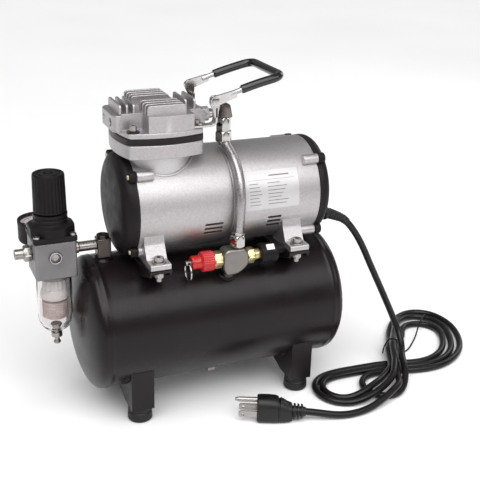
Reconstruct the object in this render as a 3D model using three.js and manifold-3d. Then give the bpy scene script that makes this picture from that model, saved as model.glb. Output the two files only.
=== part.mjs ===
// Airbrush compressor: an oil-free piston pump and motor on a 3 litre air tank, with a filter regulator.
// Millimetres. The tank lies along X, the user stands on the -Y side, and +Z is up.
import * as THREE from 'three';
import { mergeVertices } from 'three/addons/utils/BufferGeometryUtils.js';
import Module from 'manifold-3d';

const wasm = await Module();
wasm.setup();

// ---- driving dimensions -------------------------------------------------------------------------

const GAP = 0.3; // between pieces that touch

const TANK = { radius: 62.5, wall: 2, axisZ: 85.7, half: 113.4, dome: 17.3 };
const TANK_TOP = TANK.axisZ + TANK.radius;
const FOOT = { x: 80.7, y: 42.5, radius: 11.6, height: 13.7 };
const LEG = { width: 21.5, sheet: 2, reach: 54 };

const MOTOR = { radius: 46.6, bore: 42.5, axisZ: 199.2, left: -78, split: 8.5, right: 95 };
const CAP = { depth: 15.1, wall: 2.2, earOffset: 34.5, earRadius: 5, earDepth: 6.5 };
const PAD = { leftX: -65.2, rightX: 67.8, y: 54, width: 18.5, bottomZ: 155.8, topZ: 161.3 };
const SHAFT = { radius: 4, left: -88.5, right: 93 };
const BEARING = { radius: 10.7, seat: 11, width: 7, leftX: -33, rightX: 72.5 };
const CRANK = { x: -49.5, throw: 5, discRadius: 12, chamber: 30, chamberRight: -36, boreRadius: 17.5 };

const HEAD = { x: -49.5, half: 33.5, bulge: 5.5 };
const FLANGE = { bottomZ: 248, topZ: 260.6 };
const PLATE = { bottomZ: FLANGE.topZ + GAP, topZ: 266 };
const BLOCK = { bottomZ: PLATE.topZ + GAP, baseZ: 271, topZ: 285, finZ: 293.5 };
const OUTLET = { y: -11, z: 278, elbowX: 11 };

const HINGE = { x: -6, z: 294.3, halfWidth: 34.3 };
const BAIL = { reach: 65.2, wire: 2.2, sleeve: 3.8, corner: 8, sleeveStart: 25.5, restTurn: 16 };

const MANIFOLD = { y: -49, z: 153, bossX: 4, bossY: -44, hoseX: 11, hoseY: -51 };
const RING = { x: -35.5, radius: 8.2, wire: 0.9 };

const REGULATOR = { x: -146, portZ: 162, half: 18.5, bottomZ: 141.5, topZ: 175.5 };
const ELBOW = { x: -100, half: 6.3 };
const GAUGE = { x: -147.5, y: 47, radius: 20, bottomZ: 155, dialZ: 170.5, topZ: 175.5 };
const KNOB = { bottomZ: 199.8, topZ: 234, radius: 14.6 };
const BOWL = { radius: 15.8, bottomZ: 84 };

const SWITCH = { y: 15, z: 206, faceX: 111, halfY: 9, halfZ: 12.7, pivotX: 107.5 };
const GLAND = { y: -25, z: 175, faceX: 110.3, tailLength: 17, droop: 20 };
const CORD = { radius: 3.4, sides: 8 };
const PLUG = { x: 21, y: -83, turn: 156, reliefLength: 46, bladeZ: 8.3, groundZ: 20.2 };
const HANK_HEIGHT = 20;

// The tank's centre is not the centre of the whole machine: this moves the box's middle to the origin.
const SHIFT = { x: 24.25, y: -2 };

// Cord route in the tank's frame: hand-chosen points.
const LEAD_ROUTE = [
  [127.6, -25, 168.9], [131.5, -25, 167.2], [137, -25, 162.8], [144, -25, 154.6], [154.5, -25, 138.8],
  [168, -25, 112.5], [184, -25, 81.5], [198.5, -26, 52], [206.5, -27, 33], [209.5, -27.5, 21.4],
];
const TAIL_ROUTE = [
  [156.7, -99.8, 3.8], [148, -105.6, 3.6], [137, -110.2, 3.5], [124, -112.8, 3.5], [110, -113.4, 3.5],
  [96, -111.8, 4], [83, -108.4, 5.6], [73, -105.2, 7.8], [64, -102.2, 9],
];
const HANK_OUTLINE = [
  [89.8, -67.4], [91.5, -79.5], [98, -90], [107.5, -97], [120, -100.6], [135, -100.5], [146, -97.5],
  [153.9, -95.5], [160.1, -103.5], [168, -101.5], [180, -94], [192, -81], [200, -69.5], [229, -69],
  [247.5, -66], [266, -57], [283.5, -41.5], [297.2, -19.5], [305, 5], [305, 24], [300.5, 41], [287, 53.8],
  [268, 56], [250.5, 48], [235.5, 34.5], [222.5, 18], [210.5, 0], [195.5, -24], [188, -37.5], [165, -36.6],
  [134.5, -35.4], [121.5, -36], [109.5, -38.8], [99, -45.5], [93, -55.5],
];

// ---- materials ----------------------------------------------------------------------------------

const finish = (color, roughness, metalness) =>
  new THREE.MeshStandardMaterial({ color, roughness, metalness });
const blackPaint = finish(0x141416, 0.35, 0.1);
const castSilver = finish(0xb4b5b8, 0.4, 0.7);
const greyCast = finish(0x77787c, 0.5, 0.5);
const blackPlastic = finish(0x19191b, 0.5, 0);
const redPlastic = finish(0xc8151c, 0.4, 0);
const clearPlastic = finish(0xd8dde0, 0.1, 0);
const whitePlastic = finish(0xe8e8e4, 0.6, 0);
const blackRubber = finish(0x101011, 0.8, 0);
const chrome = finish(0xd6d8dc, 0.12, 1);
const darkNickel = finish(0x5a5653, 0.25, 0.9);
const brass = finish(0xb9964b, 0.3, 0.9);
const steel = finish(0x8d9096, 0.35, 0.9);
const copper = finish(0x9c5a34, 0.4, 0.8);

// ---- shapes -------------------------------------------------------------------------------------

const X = new THREE.Vector3(1, 0, 0);
const Y = new THREE.Vector3(0, 1, 0);
const Z = new THREE.Vector3(0, 0, 1);

// A closed three.js geometry as a solid that can be joined and cut.
function solid(geometry) {
  const bare = geometry.clone();
  bare.deleteAttribute('normal');
  bare.deleteAttribute('uv');
  const merged = mergeVertices(bare, 1e-4);
  const corners = merged.index.array;
  const position = merged.attributes.position;
  const triangles = [];
  let volume = 0;
  const [a, b, c] = [new THREE.Vector3(), new THREE.Vector3(), new THREE.Vector3()];
  for (let i = 0; i < corners.length; i += 3) {
    const [p, q, r] = [corners[i], corners[i + 1], corners[i + 2]];
    if (p === q || q === r || r === p) continue;
    triangles.push([p, q, r]);
    a.fromBufferAttribute(position, p);
    b.fromBufferAttribute(position, q);
    c.fromBufferAttribute(position, r);
    volume += a.dot(b.cross(c));
  }
  if (volume < 0) triangles.forEach((triangle) => triangle.reverse());
  return new wasm.Manifold(new wasm.Mesh({
    numProp: 3,
    vertProperties: new Float32Array(position.array),
    triVerts: new Uint32Array(triangles.flat()),
  }));
}

const join = (first, ...others) => others.reduce((whole, piece) => whole.add(piece), first);
const cut = (first, ...others) => others.reduce((whole, piece) => whole.subtract(piece), first);

// A box between two corners.
function box([x0, y0, z0], [x1, y1, z1]) {
  const geometry = new THREE.BoxGeometry(Math.abs(x1 - x0), Math.abs(y1 - y0), Math.abs(z1 - z0));
  return solid(geometry.translate((x0 + x1) / 2, (y0 + y1) / 2, (z0 + z1) / 2));
}

// A profile of [radius, distance] points, closed on itself or on the axis, turned about a row axis.
function turned(axis, start, profile, sides = 24) {
  const points = profile.map(([radius, distance]) => new THREE.Vector2(radius, distance));
  const geometry = new THREE.LatheGeometry(points, sides);
  if (axis === 'x') geometry.rotateZ(-Math.PI / 2);
  if (axis === 'z') geometry.rotateX(Math.PI / 2);
  return solid(geometry.translate(...start));
}

const rod = (axis, start, radius, length, sides = 18) =>
  turned(axis, start, [[0, 0], [radius, 0], [radius, length], [0, length]], sides);

const ring = (axis, start, inner, outer, length, sides = 20) =>
  turned(axis, start, [[inner, 0], [outer, 0], [outer, length], [inner, length], [inner, 0]], sides);

const outline = (points) => new THREE.Shape(points.map(([u, v]) => new THREE.Vector2(u, v)));

// An outline pushed along a row axis. Its plane is YZ for 'x', XZ for 'y' and XY for 'z'.
function prism(axis, start, shape, length) {
  const geometry = new THREE.ExtrudeGeometry(shape, { depth: length, bevelEnabled: false, curveSegments: 3 });
  if (axis === 'x') geometry.applyMatrix4(new THREE.Matrix4().makeBasis(Y, Z, X));
  if (axis === 'y') geometry.applyMatrix4(new THREE.Matrix4().makeBasis(X, Z, Y.clone().negate()))
    .translate(0, length, 0);
  return solid(geometry.translate(...start));
}

function circle(radius, sides, holeRadius = 0) {
  const corner = (r, angle) => [r * Math.cos(angle), r * Math.sin(angle)];
  const around = (r) => Array.from({ length: sides }, (_, i) => corner(r, (i / sides) * 2 * Math.PI));
  const shape = outline(around(radius));
  if (holeRadius > 0) shape.holes.push(new THREE.Path(outline(around(holeRadius)).getPoints()));
  return shape;
}

// A hexagon given by its width across flats.
const hexagon = (acrossFlats) => circle(acrossFlats / Math.sqrt(3), 6);

function rounded(width, height, radius) {
  const [w, h] = [width / 2, height / 2];
  const shape = new THREE.Shape();
  shape.moveTo(-w + radius, -h);
  shape.absarc(w - radius, -h + radius, radius, -Math.PI / 2, 0);
  shape.absarc(w - radius, h - radius, radius, 0, Math.PI / 2);
  shape.absarc(-w + radius, h - radius, radius, Math.PI / 2, Math.PI);
  shape.absarc(-w + radius, -h + radius, radius, Math.PI, 1.5 * Math.PI);
  return shape;
}

// The pump's square with bowed sides and chamfered corners.
function pillow(half, bulge) {
  const chamfer = 1.2;
  const [far, near, bow] = [half, half - chamfer, half + 2 * bulge];
  const shape = new THREE.Shape();
  shape.moveTo(-near, -far);
  shape.quadraticCurveTo(0, -bow, near, -far);
  shape.lineTo(far, -near);
  shape.quadraticCurveTo(bow, 0, far, near);
  shape.lineTo(near, far);
  shape.quadraticCurveTo(0, bow, -near, far);
  shape.lineTo(-far, near);
  shape.quadraticCurveTo(-bow, 0, -far, -near);
  return shape;
}

// A smooth tube through a list of points, with a hole along it if holeRadius is given.
function tube(points, radius, sides, steps, holeRadius = 0) {
  const path = new THREE.CatmullRomCurve3(points.map((p) => new THREE.Vector3(...p)), false, 'centripetal');
  const shape = circle(radius, sides, holeRadius);
  return solid(new THREE.ExtrudeGeometry(shape, { steps, extrudePath: path, curveSegments: sides }));
}

// ---- the model ----------------------------------------------------------------------------------

const model = new THREE.Group();
model.position.set(SHIFT.x, SHIFT.y, 0);

function part(name, shape, material, parent = model) {
  const { vertProperties, triVerts } = shape.getMesh();
  const geometry = new THREE.BufferGeometry();
  geometry.setAttribute('position', new THREE.BufferAttribute(vertProperties, 3));
  geometry.setIndex(new THREE.BufferAttribute(triVerts, 1));
  geometry.computeVertexNormals();
  const mesh = new THREE.Mesh(geometry, material);
  mesh.name = name;
  parent.add(mesh);
  return mesh;
}

const aroundTank = (margin) => rod('x', [-200, 0, TANK.axisZ], TANK.radius + margin, 400, 40);

// Half an ellipse of revolution at each end of a straight shell, as one closed profile.
function vessel(radius, half, dome, steps, sides) {
  const end = Array.from({ length: steps + 1 }, (_, i) => (i / steps) * (Math.PI / 2));
  const right = end.map((t) => [radius * Math.cos(t), half + dome * Math.sin(t)]);
  const left = end.map((t) => [radius * Math.cos(t), -half - dome * Math.sin(t)]).reverse();
  left[0][0] = 0;
  right[steps][0] = 0;
  return turned('x', [0, 0, TANK.axisZ], [...left, ...right], sides);
}

function tank() {
  const bosses = [
    rod('z', [MANIFOLD.bossX, MANIFOLD.bossY, 118], 9.5, 17),
    rod('z', [ELBOW.x, 0, TANK_TOP - 4], 8, 5.5),
    rod('z', [5, 0, 19.5], 8, 6),
  ];
  const bores = [
    rod('z', [MANIFOLD.bossX, MANIFOLD.bossY, 110], 4.5, 30, 16),
    rod('z', [ELBOW.x, 0, TANK_TOP - 10], 4, 20, 16),
    rod('z', [5, 0, 15], 4, 20, 16),
  ];
  const outside = vessel(TANK.radius, TANK.half, TANK.dome, 4, 40);
  const inside = vessel(TANK.radius - TANK.wall, TANK.half, TANK.dome - TANK.wall, 2, 20);
  part('tank_shell', cut(join(outside, ...bosses), inside, ...bores), blackPaint);
  const plug = join(prism('z', [5, 0, 13], hexagon(13), 6.2), rod('z', [5, 0, 19.2], 3.7, 8, 16));
  part('tank_drain_plug', plug, brass);
}

// A pressed saddle across the tank: two webs, an end panel and a foot plate at each side.
function leg(name, x) {
  const low = FOOT.height + GAP;
  const [left, right] = [x - LEG.width / 2, x + LEG.width / 2];
  const web = outline([
    [-LEG.reach, low], [-30, low], [-12, 19.5], [12, 19.5], [30, low], [LEG.reach, low],
    [LEG.reach, 56], [-LEG.reach, 56],
  ]);
  const sheets = [left, right - LEG.sheet].map((side) => prism('x', [side, 0, 0], web, LEG.sheet));
  for (const side of [-1, 1]) {
    const [outer, inner] = [side * LEG.reach, side * 30];
    sheets.push(box([left, outer, low], [right, outer - side * LEG.sheet, 56]));
    sheets.push(box([left, outer, low], [right, inner, low + LEG.sheet]));
  }
  part(name, cut(join(...sheets), aroundTank(GAP)), blackPaint);
}

function foot(name, x, y) {
  const { radius, height } = FOOT;
  const profile = [[0, 0], [radius - 1, 0], [radius, 1.2], [radius - 0.6, height], [0, height]];
  part(name, turned('z', [x, y, 0], profile, 20), blackRubber);
}

// A strap over the tank, raised at its ends to carry the motor's arms, on two welded webs.
function mountBracket(name, x) {
  const [half, sheet, lift] = [10, 2.5, PAD.bottomZ - GAP];
  const base = TANK_TOP + GAP;
  const reach = PAD.y + 9;
  const strap = outline([
    [-36, base], [36, base], [44, lift - sheet], [reach, lift - sheet], [reach, lift], [43, lift],
    [35, base + sheet], [-35, base + sheet], [-43, lift], [-reach, lift], [-reach, lift - sheet],
    [-44, lift - sheet],
  ]);
  const web = outline([
    [-30, 139], [30, 139], [reach - 1, 150], [reach - 1, lift - 1], [43, lift - 1], [35, base + 1],
    [-35, base + 1], [-43, lift - 1], [1 - reach, lift - 1], [1 - reach, 150],
  ]);
  const webs = [x - half, x + half - 2].map((side) => prism('x', [side, 0, 0], web, 2));
  const whole = join(prism('x', [x - half, 0, 0], strap, 2 * half), ...webs);
  part(name, cut(whole, aroundTank(GAP)), blackPaint);
}

// The arm that stands on a mount pad, front and back.
function arms(x) {
  const reach = PAD.y + 9;
  const profile = (side) => outline([
    [side * reach, PAD.bottomZ], [side * reach, PAD.topZ], [side * 51, PAD.topZ], [side * 44, 174],
    [side * 42, 186], [side * 36, 186], [side * 22, 162], [side * 25, PAD.bottomZ],
  ]);
  const solids = [-1, 1].map((side) => prism('x', [x - PAD.width / 2, 0, 0], profile(side), PAD.width));
  return join(...solids);
}

const corners = [[-1, -1], [1, -1], [1, 1], [-1, 1]];
const onMotor = (x) => [x, 0, MOTOR.axisZ];

function screwRidges(x, length) {
  const places = corners.map(([sy, sz]) => [x, sy * CAP.earOffset, MOTOR.axisZ + sz * CAP.earOffset]);
  return join(...places.map((place) => rod('x', place, 4.6, length, 10)));
}

function ventSlots(x, length) {
  const slots = [];
  for (const side of [-1, 1]) {
    for (const z of [176.8, 181.2, 185.6]) {
      slots.push(box([x, side * 34, z - 1], [x + length, side * 50, z + 1]));
    }
  }
  return join(...slots);
}

function crankcase() {
  const end = MOTOR.split - GAP / 2;
  const tubeLength = end - MOTOR.left;
  const barrel = rod('x', onMotor(MOTOR.left), MOTOR.radius, tubeLength, 32);
  const spotFace = rod('z', [HEAD.x, 0, 232], 31, 30, 24);
  const shell = cut(join(barrel, screwRidges(MOTOR.left, 15)), spotFace);
  const neck = rod('z', [HEAD.x, 0, 225], 20.5, FLANGE.bottomZ - 224, 20);
  const square = pillow(HEAD.half, HEAD.bulge);
  const flange = prism('z', [HEAD.x, 0, FLANGE.bottomZ], square, FLANGE.topZ - FLANGE.bottomZ);
  const hollows = [
    rod('x', onMotor(MOTOR.left - 1), CRANK.chamber, CRANK.chamberRight - MOTOR.left + 1, 20),
    rod('x', onMotor(-40), BEARING.seat, 20, 24),
    rod('x', onMotor(-24), MOTOR.bore, 40, 24),
    rod('z', [HEAD.x, 0, MOTOR.axisZ], CRANK.boreRadius, 80, 16),
    ventSlots(-18, 17.5),
  ];
  const rear = cut(arms(PAD.leftX), rod('x', onMotor(-90), MOTOR.bore, 120, 24));
  part('crankcase', cut(join(shell, neck, flange, rear), ...hollows), castSilver);
}

function motorHousing() {
  const start = MOTOR.split + GAP / 2;
  const barrel = rod('x', onMotor(start), MOTOR.radius, MOTOR.right - start, 32);
  const airHoles = Array.from({ length: 6 }, (_, i) => {
    const turn = (i + 0.5) * (Math.PI / 3);
    return rod('x', [70, 28 * Math.cos(turn), MOTOR.axisZ + 28 * Math.sin(turn)], 8, 12, 8);
  });
  const hollows = [
    rod('x', onMotor(0), MOTOR.bore, BEARING.rightX - 0.5, 24),
    rod('x', onMotor(BEARING.rightX + BEARING.width + 0.5), MOTOR.bore, 30, 24),
    rod('x', onMotor(60), BEARING.seat, 30, 24),
    ventSlots(43, 13.5),
    box([60, -40, 165], [66, -30, 170]),
    ...airHoles,
  ];
  const solidArms = cut(arms(PAD.rightX), rod('x', onMotor(-20), MOTOR.bore, 130, 24));
  const whole = join(barrel, screwRidges(MOTOR.right - 15, 15), solidArms);
  part('motor_housing', cut(whole, ...hollows), castSilver);
}

// A dished cap; side is -1 for the pump end and 1 for the cord end.
function endCap(side) {
  const rim = side < 0 ? MOTOR.left - GAP : MOTOR.right + GAP;
  const out = (distance) => side * distance;
  const profile = [
    [0, out(CAP.depth)], [25, out(CAP.depth - 0.4)], [38, out(CAP.depth - 2.1)],
    [44.5, out(CAP.depth - 5.4)], [46.9, out(5.7)], [46.9, 0], [44.6, 0], [44.6, out(5.2)],
    [42.5, out(6.9)], [36.8, out(CAP.depth - 4.3)], [24.5, out(CAP.depth - 2.6)],
    [0, out(CAP.depth - CAP.wall)],
  ];
  const shell = turned('x', onMotor(rim), profile, 28);
  const ears = corners.map(([sy, sz]) => {
    const x = side < 0 ? rim - CAP.earDepth : rim;
    const place = [x, sy * CAP.earOffset, MOTOR.axisZ + sz * CAP.earOffset];
    return rod('x', place, CAP.earRadius, CAP.earDepth, 10);
  });
  return join(shell, ...ears);
}

function endCaps() {
  part('end_cap_left', endCap(-1), blackPlastic);
  const { y, z, faceX, halfY, halfZ } = SWITCH;
  const pad = box([100, y - halfY - 3, z - halfZ - 3], [faceX - GAP, y + halfY + 3, z + halfZ + 3]);
  const opening = box([98, y - halfY - GAP, z - halfZ - GAP], [113, y + halfY + GAP, z + halfZ + GAP]);
  const cordHole = rod('x', [95.3, GLAND.y, GLAND.z], 5.3, 20, 16);
  part('end_cap_right', cut(join(endCap(1), pad), opening, cordHole), blackPlastic);
}

function powerSwitch() {
  const { y, z, faceX, halfY, halfZ } = SWITCH;
  const flange = box([faceX, y - halfY - 2, z - halfZ - 2], [faceX + 1.8, y + halfY + 2, z + halfZ + 2]);
  const body = box([97.5, y - halfY, z - halfZ], [faceX + 1, y + halfY, z + halfZ]);
  const well = box([101.5, y - 7, z - 10.5], [faceX + 5, y + 7, z + 10.5]);
  part('power_switch', cut(join(body, flange), well), blackPlastic);
  const key = outline([
    [104, -6], [107, -8.6], [113.4, -8.6], [112.2, 0], [113.4, 8.6], [107, 8.6], [104, 6],
  ]);
  const rocker = prism('y', [-SWITCH.pivotX, y - 6.6, 0], key, 13.2);
  const mesh = part('power_rocker', rocker, blackPlastic);
  mesh.position.set(SWITCH.pivotX, 0, z);
  mesh.rotation.y = THREE.MathUtils.degToRad(10);
}

function motorInside() {
  const core = MOTOR.bore - 0.8;
  const windings = [
    [25, -16], [37, -16], [37, -5], [core, -5], [core, 40], [37, 40], [37, 51],
    [25, 51], [25, 40], [24, 40], [24, -5], [25, -5], [25, -16],
  ];
  part('stator', turned('x', onMotor(0), windings, 18), copper);
  const spindle = [
    [0, SHAFT.left], [SHAFT.radius, SHAFT.left], [SHAFT.radius, -5], [23.5, -5], [23.5, 40],
    [SHAFT.radius, 40], [SHAFT.radius, SHAFT.right], [0, SHAFT.right],
  ];
  part('rotor', turned('x', onMotor(0), spindle, 20), steel);
  const race = (x) => ring('x', onMotor(x), SHAFT.radius + GAP, BEARING.radius, BEARING.width, 20);
  part('bearing_left', race(BEARING.leftX), steel);
  part('bearing_right', race(BEARING.rightX), steel);
}

function fan(name, x, width) {
  const blades = Array.from({ length: 3 }, (_, i) => {
    const blade = new THREE.BoxGeometry(width, 1.6, 66).rotateX((i * Math.PI) / 3);
    return solid(blade.translate(x + width / 2, 0, MOTOR.axisZ));
  });
  const hub = rod('x', onMotor(x), 8, width, 12);
  const bore = rod('x', onMotor(x - 1), SHAFT.radius + GAP, width + 2, 12);
  part(name, cut(join(hub, ...blades), bore), blackPlastic);
}

// The eccentric hangs the rod's big end below the shaft at rest, with its counterweight above.
function crankDrive() {
  const pinZ = MOTOR.axisZ - CRANK.throw;
  const disc = rod('x', [CRANK.x - 4.5, 0, pinZ], CRANK.discRadius, 9);
  const hub = rod('x', onMotor(CRANK.x + 4), 9, 7);
  const halfDisc = new THREE.Shape();
  halfDisc.absarc(0, 0, 22, 0, Math.PI);
  const weight = prism('x', onMotor(CRANK.x + 5.5), halfDisc, 5.5);
  const bore = rod('x', onMotor(CRANK.x - 6), SHAFT.radius + GAP, 20);
  part('eccentric', cut(join(disc, hub, weight), bore), steel);

  const bigEnd = ring('x', [CRANK.x - 4, 0, pinZ], CRANK.discRadius + GAP, 16, 7.5);
  const shank = box([CRANK.x - 3.5, -4, pinZ + 14.5], [CRANK.x + 3, 4, pinZ + 52]);
  const piston = rod('z', [CRANK.x, 0, pinZ + 51], 12, 4);
  part('piston_rod', join(bigEnd, shank, piston), castSilver);
}

function valvePlate() {
  const square = pillow(HEAD.half, HEAD.bulge);
  const plate = prism('z', [HEAD.x, 0, PLATE.bottomZ], square, PLATE.topZ - PLATE.bottomZ);
  const ports = [-8, 8].map((offset) => rod('z', [HEAD.x + offset, 0, PLATE.bottomZ - 1], 3, 8, 12));
  part('valve_plate', cut(plate, ...ports), blackPaint);
}

// A cooling fin with rounded top corners: centre place, length, and the row axis it runs along.
function fin(along, x, y, length, topZ = BLOCK.finZ) {
  const [low, thick, round] = [BLOCK.topZ - 2.5, 2.2, 3];
  const shape = new THREE.Shape();
  shape.moveTo(-length / 2, low);
  shape.lineTo(length / 2, low);
  shape.absarc(length / 2 - round, topZ - round, round, 0, Math.PI / 2);
  shape.absarc(-length / 2 + round, topZ - round, round, Math.PI / 2, Math.PI);
  return along === 'x'
    ? prism('y', [x, y - thick / 2, 0], shape, thick)
    : prism('x', [x - thick / 2, y, 0], shape, thick);
}

function cylinderHead() {
  const head = new THREE.Group();
  head.position.x = HEAD.x;
  model.add(head);
  const square = pillow(HEAD.half, HEAD.bulge);
  const base = prism('z', [0, 0, BLOCK.bottomZ], square, BLOCK.baseZ - BLOCK.bottomZ);
  const pockets = corners.map(([sx, sy]) => {
    const inner = sx < 0 ? -17 : 24.5;
    return box([inner, sy * 19, BLOCK.baseZ], [sx * 50, sy * 50, 300]);
  });
  const block = cut(prism('z', [0, 0, BLOCK.baseZ - 1], square, BLOCK.topZ - BLOCK.baseZ + 1), ...pockets);
  const intakeOutline = outline([
    [-42.5, -13], [-40, -18.5], [-30, -18.5], [-30, 24], [-39, 24], [-42.5, 19],
  ]);
  const intake = prism('z', [0, 0, BLOCK.baseZ - 2.5], intakeOutline, 15);
  const ports = [
    rod('x', [-43, -7, 275.6], 3.2, 9, 16),
    rod('x', [-43, 14, 276.2], 2.2, 6, 12),
  ];
  const rows = [9.1, 16.4, 23.7, 31];
  const fins = [
    ...rows.map((y) => fin('x', 0.8, -y, 35)),
    ...rows.map((y) => fin('x', -1.5, y, 35)),
    ...[-36, -30, -24].map((x) => fin('y', x, 0, 35, BLOCK.finZ - 1)),
    ...[23, 31].map((x) => fin('y', x, 0, 33)),
  ];
  const outletBlock = box([33, -18.5, BLOCK.baseZ - 1], [40.5, -3.5, 284]);
  const outletBoss = rod('x', [40, OUTLET.y, OUTLET.z], 6.5, 5);
  const outletBore = rod('x', [38, OUTLET.y, OUTLET.z], 2.5, 10, 12);
  const whole = join(base, block, intake, outletBlock, outletBoss, ...fins);
  part('cylinder_head', cut(whole, ...ports, outletBore), castSilver, head);
}

function outletLine() {
  const { y, z, elbowX } = OUTLET;
  const start = HEAD.x + 45 + GAP;
  part('outlet_nipple', rod('x', [start, y, z], 4.3, 5 - GAP - start), chrome);
  const body = outline([[5, 274], [17.5, 274], [14.8, 286.4], [6.4, 286.4]]);
  part('outlet_elbow', prism('y', [0, y - 7, 0], body, 13), darkNickel);
  const route = [
    [elbowX, OUTLET.y - 1, 258], [elbowX + 0.4, -13, 251.5], [13.2, -22, 246], [14.6, -33.5, 238.6],
    [14.4, -44, 226], [13, -50.8, 209], [11.8, -51.9, 190], [MANIFOLD.hoseX, MANIFOLD.hoseY, 170],
  ];
  const line = tube(route, 4.6, 10, 20);
  const upperNut = prism('z', [elbowX, y - 1, 251.5], hexagon(13.6), 10);
  const upperHex = prism('z', [elbowX, y - 0.5, 261], hexagon(12), 12.7);
  const lowerNut = prism('z', [MANIFOLD.hoseX, MANIFOLD.hoseY, 164.6], hexagon(13), 11);
  part('delivery_hose', join(line, upperNut, upperHex, lowerNut), chrome);
}

// A bracket of bent strip with the handle's rivet; side is -1 at the front and 1 at the rear.
function handleBracket(name, side) {
  const strip = new THREE.Shape();
  const [base, turnX] = [BLOCK.baseZ + GAP, -9];
  strip.moveTo(-24.6, base);
  strip.lineTo(turnX, base);
  strip.absarc(turnX, base + 6, 6, -Math.PI / 2, 0);
  strip.lineTo(turnX + 6, 288);
  strip.lineTo(turnX + 4, 288);
  strip.absarc(turnX, base + 6, 4, 0, -Math.PI / 2, true);
  strip.lineTo(-24.6, base + 2);
  const between = (near, far) => Math.min(side * near, side * far);
  const bent = prism('y', [0, between(24.5, 32.8), 0], strip, 8.3);
  const ear = outline([
    [-6, 279], [-3, 279], [-1, 291], [-1.6, 296.8], [-4, 299], [-8, 299], [-10.4, 296.8], [-10.6, 292],
    [-8, 287],
  ]);
  const tab = prism('y', [0, between(30.8, 32.8), 0], ear, 2);
  const pin = rod('y', [HINGE.x, between(31, 36.4), HINGE.z], 2, 5.4, 16);
  const rivetHead = rod('y', [HINGE.x, between(35.9, 37), HINGE.z], 3.3, 1.1, 16);
  part(name, join(bent, tab, pin, rivetHead), chrome);
}

// The bail lies in its own XY plane with the hinge along Y, and is then turned up to rest.
function handle() {
  const bail = new THREE.Group();
  bail.position.set(HINGE.x, 0, HINGE.z);
  bail.rotation.y = -THREE.MathUtils.degToRad(BAIL.restTurn);
  model.add(bail);
  const { reach, corner, wire, sleeve, sleeveStart } = BAIL;
  const side = HINGE.halfWidth - 0.8;
  const bow = (x) => 1.4 * Math.sin((x / reach) * Math.PI);
  const legPoints = [14, 20, sleeveStart, 34, 44].map((x) => [x, side, bow(x)]);
  const turn = [0, 22.5, 45, 67.5, 90].map((angle) => {
    const a = THREE.MathUtils.degToRad(angle);
    const x = reach - corner + corner * Math.sin(a);
    return [x, side - corner + corner * Math.cos(a), bow(x)];
  });
  const half = [...legPoints, ...turn, [reach, 12, 0]];
  const mirrored = half.map(([x, y, z]) => [x, -y, z]).reverse();
  const route = [...half, ...mirrored];
  const tabs = [-1, 1].map((s) => {
    const shape = outline([
      [-3.6, -2.8], [0, -4.4], [20, -3.2], [20, 3.2], [0, 4.4], [-3.6, 2.8], [-4.6, 0],
    ]);
    const flat = prism('y', [0, s < 0 ? -35.5 : 33.1, 0], shape, 2.4);
    return cut(flat, rod('y', [0, s < 0 ? -37 : 32, 0], 2.3, 5, 16));
  });
  part('handle_bail', join(tube(route, wire, 8, 28), ...tabs), chrome, bail);
  const covered = route.filter(([x]) => x >= sleeveStart);
  part('handle_grip', tube(covered, sleeve, 8, 24, wire + 0.6), blackRubber, bail);
}

function manifold() {
  const { y, z, bossX, bossY } = MANIFOLD;
  const casting = outline([
    [-4, 145], [-4, 160], [0, 163.2], [16, 163.2], [20, 159], [20, 147], [14, 141], [8, 138.5], [-1, 138.5],
  ]);
  const body = prism('y', [0, -57, 0], casting, 16);
  const neck = rod('z', [bossX, bossY - 1, 135 + GAP], 6.5, 5);
  const bore = rod('z', [bossX, bossY - 1, 134], 2.5, 25, 12);
  part('manifold_block', cut(join(body, neck), bore), greyCast);
  part('switch_adapter', join(prism('x', [20.3, y, z], hexagon(13), 7), rod('x', [27, y, z], 5, 5.7)), brass);
  const switchBody = join(
    rod('x', [33, y, z], 9.5, 16.6, 24),
    rod('x', [49, y, z + 2], 4.4, 8.3),
  );
  part('pressure_switch', switchBody, blackPlastic);
  reliefValve(y, z);
}

function reliefValve(y, z) {
  const collar = prism('x', [-12.5, y, z], hexagon(14), 8.2);
  part('relief_valve_body', cut(collar, rod('x', [-13, y, z], 2.8, 6, 12)), brass);
  const cap = [
    [0, 0], [5.6, 0], [6.3, 1], [6.3, 8], [9.2, 10], [9.2, 20.5], [0, 20.5],
  ];
  const spring = rod('x', [-24, y, z], 5.5, 12, 16);
  const bore = rod('x', [-34, y, z], 2.7, 12, 16);
  part('relief_valve_cap', cut(turned('x', [-33.3, y, z], cap, 24), spring, bore), redPlastic);
  const stem = join(rod('x', [-38.2, y, z], 2.4, 22, 16), rod('x', [-18.2, y, z], 4.6, 2, 16));
  const eye = rod('y', [RING.x, y - 4, z], 1.5, 8, 12);
  part('relief_stem', cut(stem, eye), steel);
  const loop = new THREE.TorusGeometry(RING.radius, RING.wire, 6, 20).rotateY(Math.PI / 2);
  part('relief_ring', solid(loop.translate(RING.x, y, z - RING.radius)), chrome);
}

function tankOutlet() {
  const { x, half } = ELBOW;
  const z = REGULATOR.portZ;
  const body = box([x - half, -half, TANK_TOP + 1.5 + GAP], [x + half, half, 168.5]);
  const crown = rod('z', [x, 0, 168], half - 0.6, 3.2);
  part('tank_outlet_elbow', join(body, crown), darkNickel);
  const start = REGULATOR.x + REGULATOR.half + GAP;
  part('regulator_inlet_pipe', rod('x', [start, 0, z], 4.6, x - half - GAP - start), chrome);
}

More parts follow.
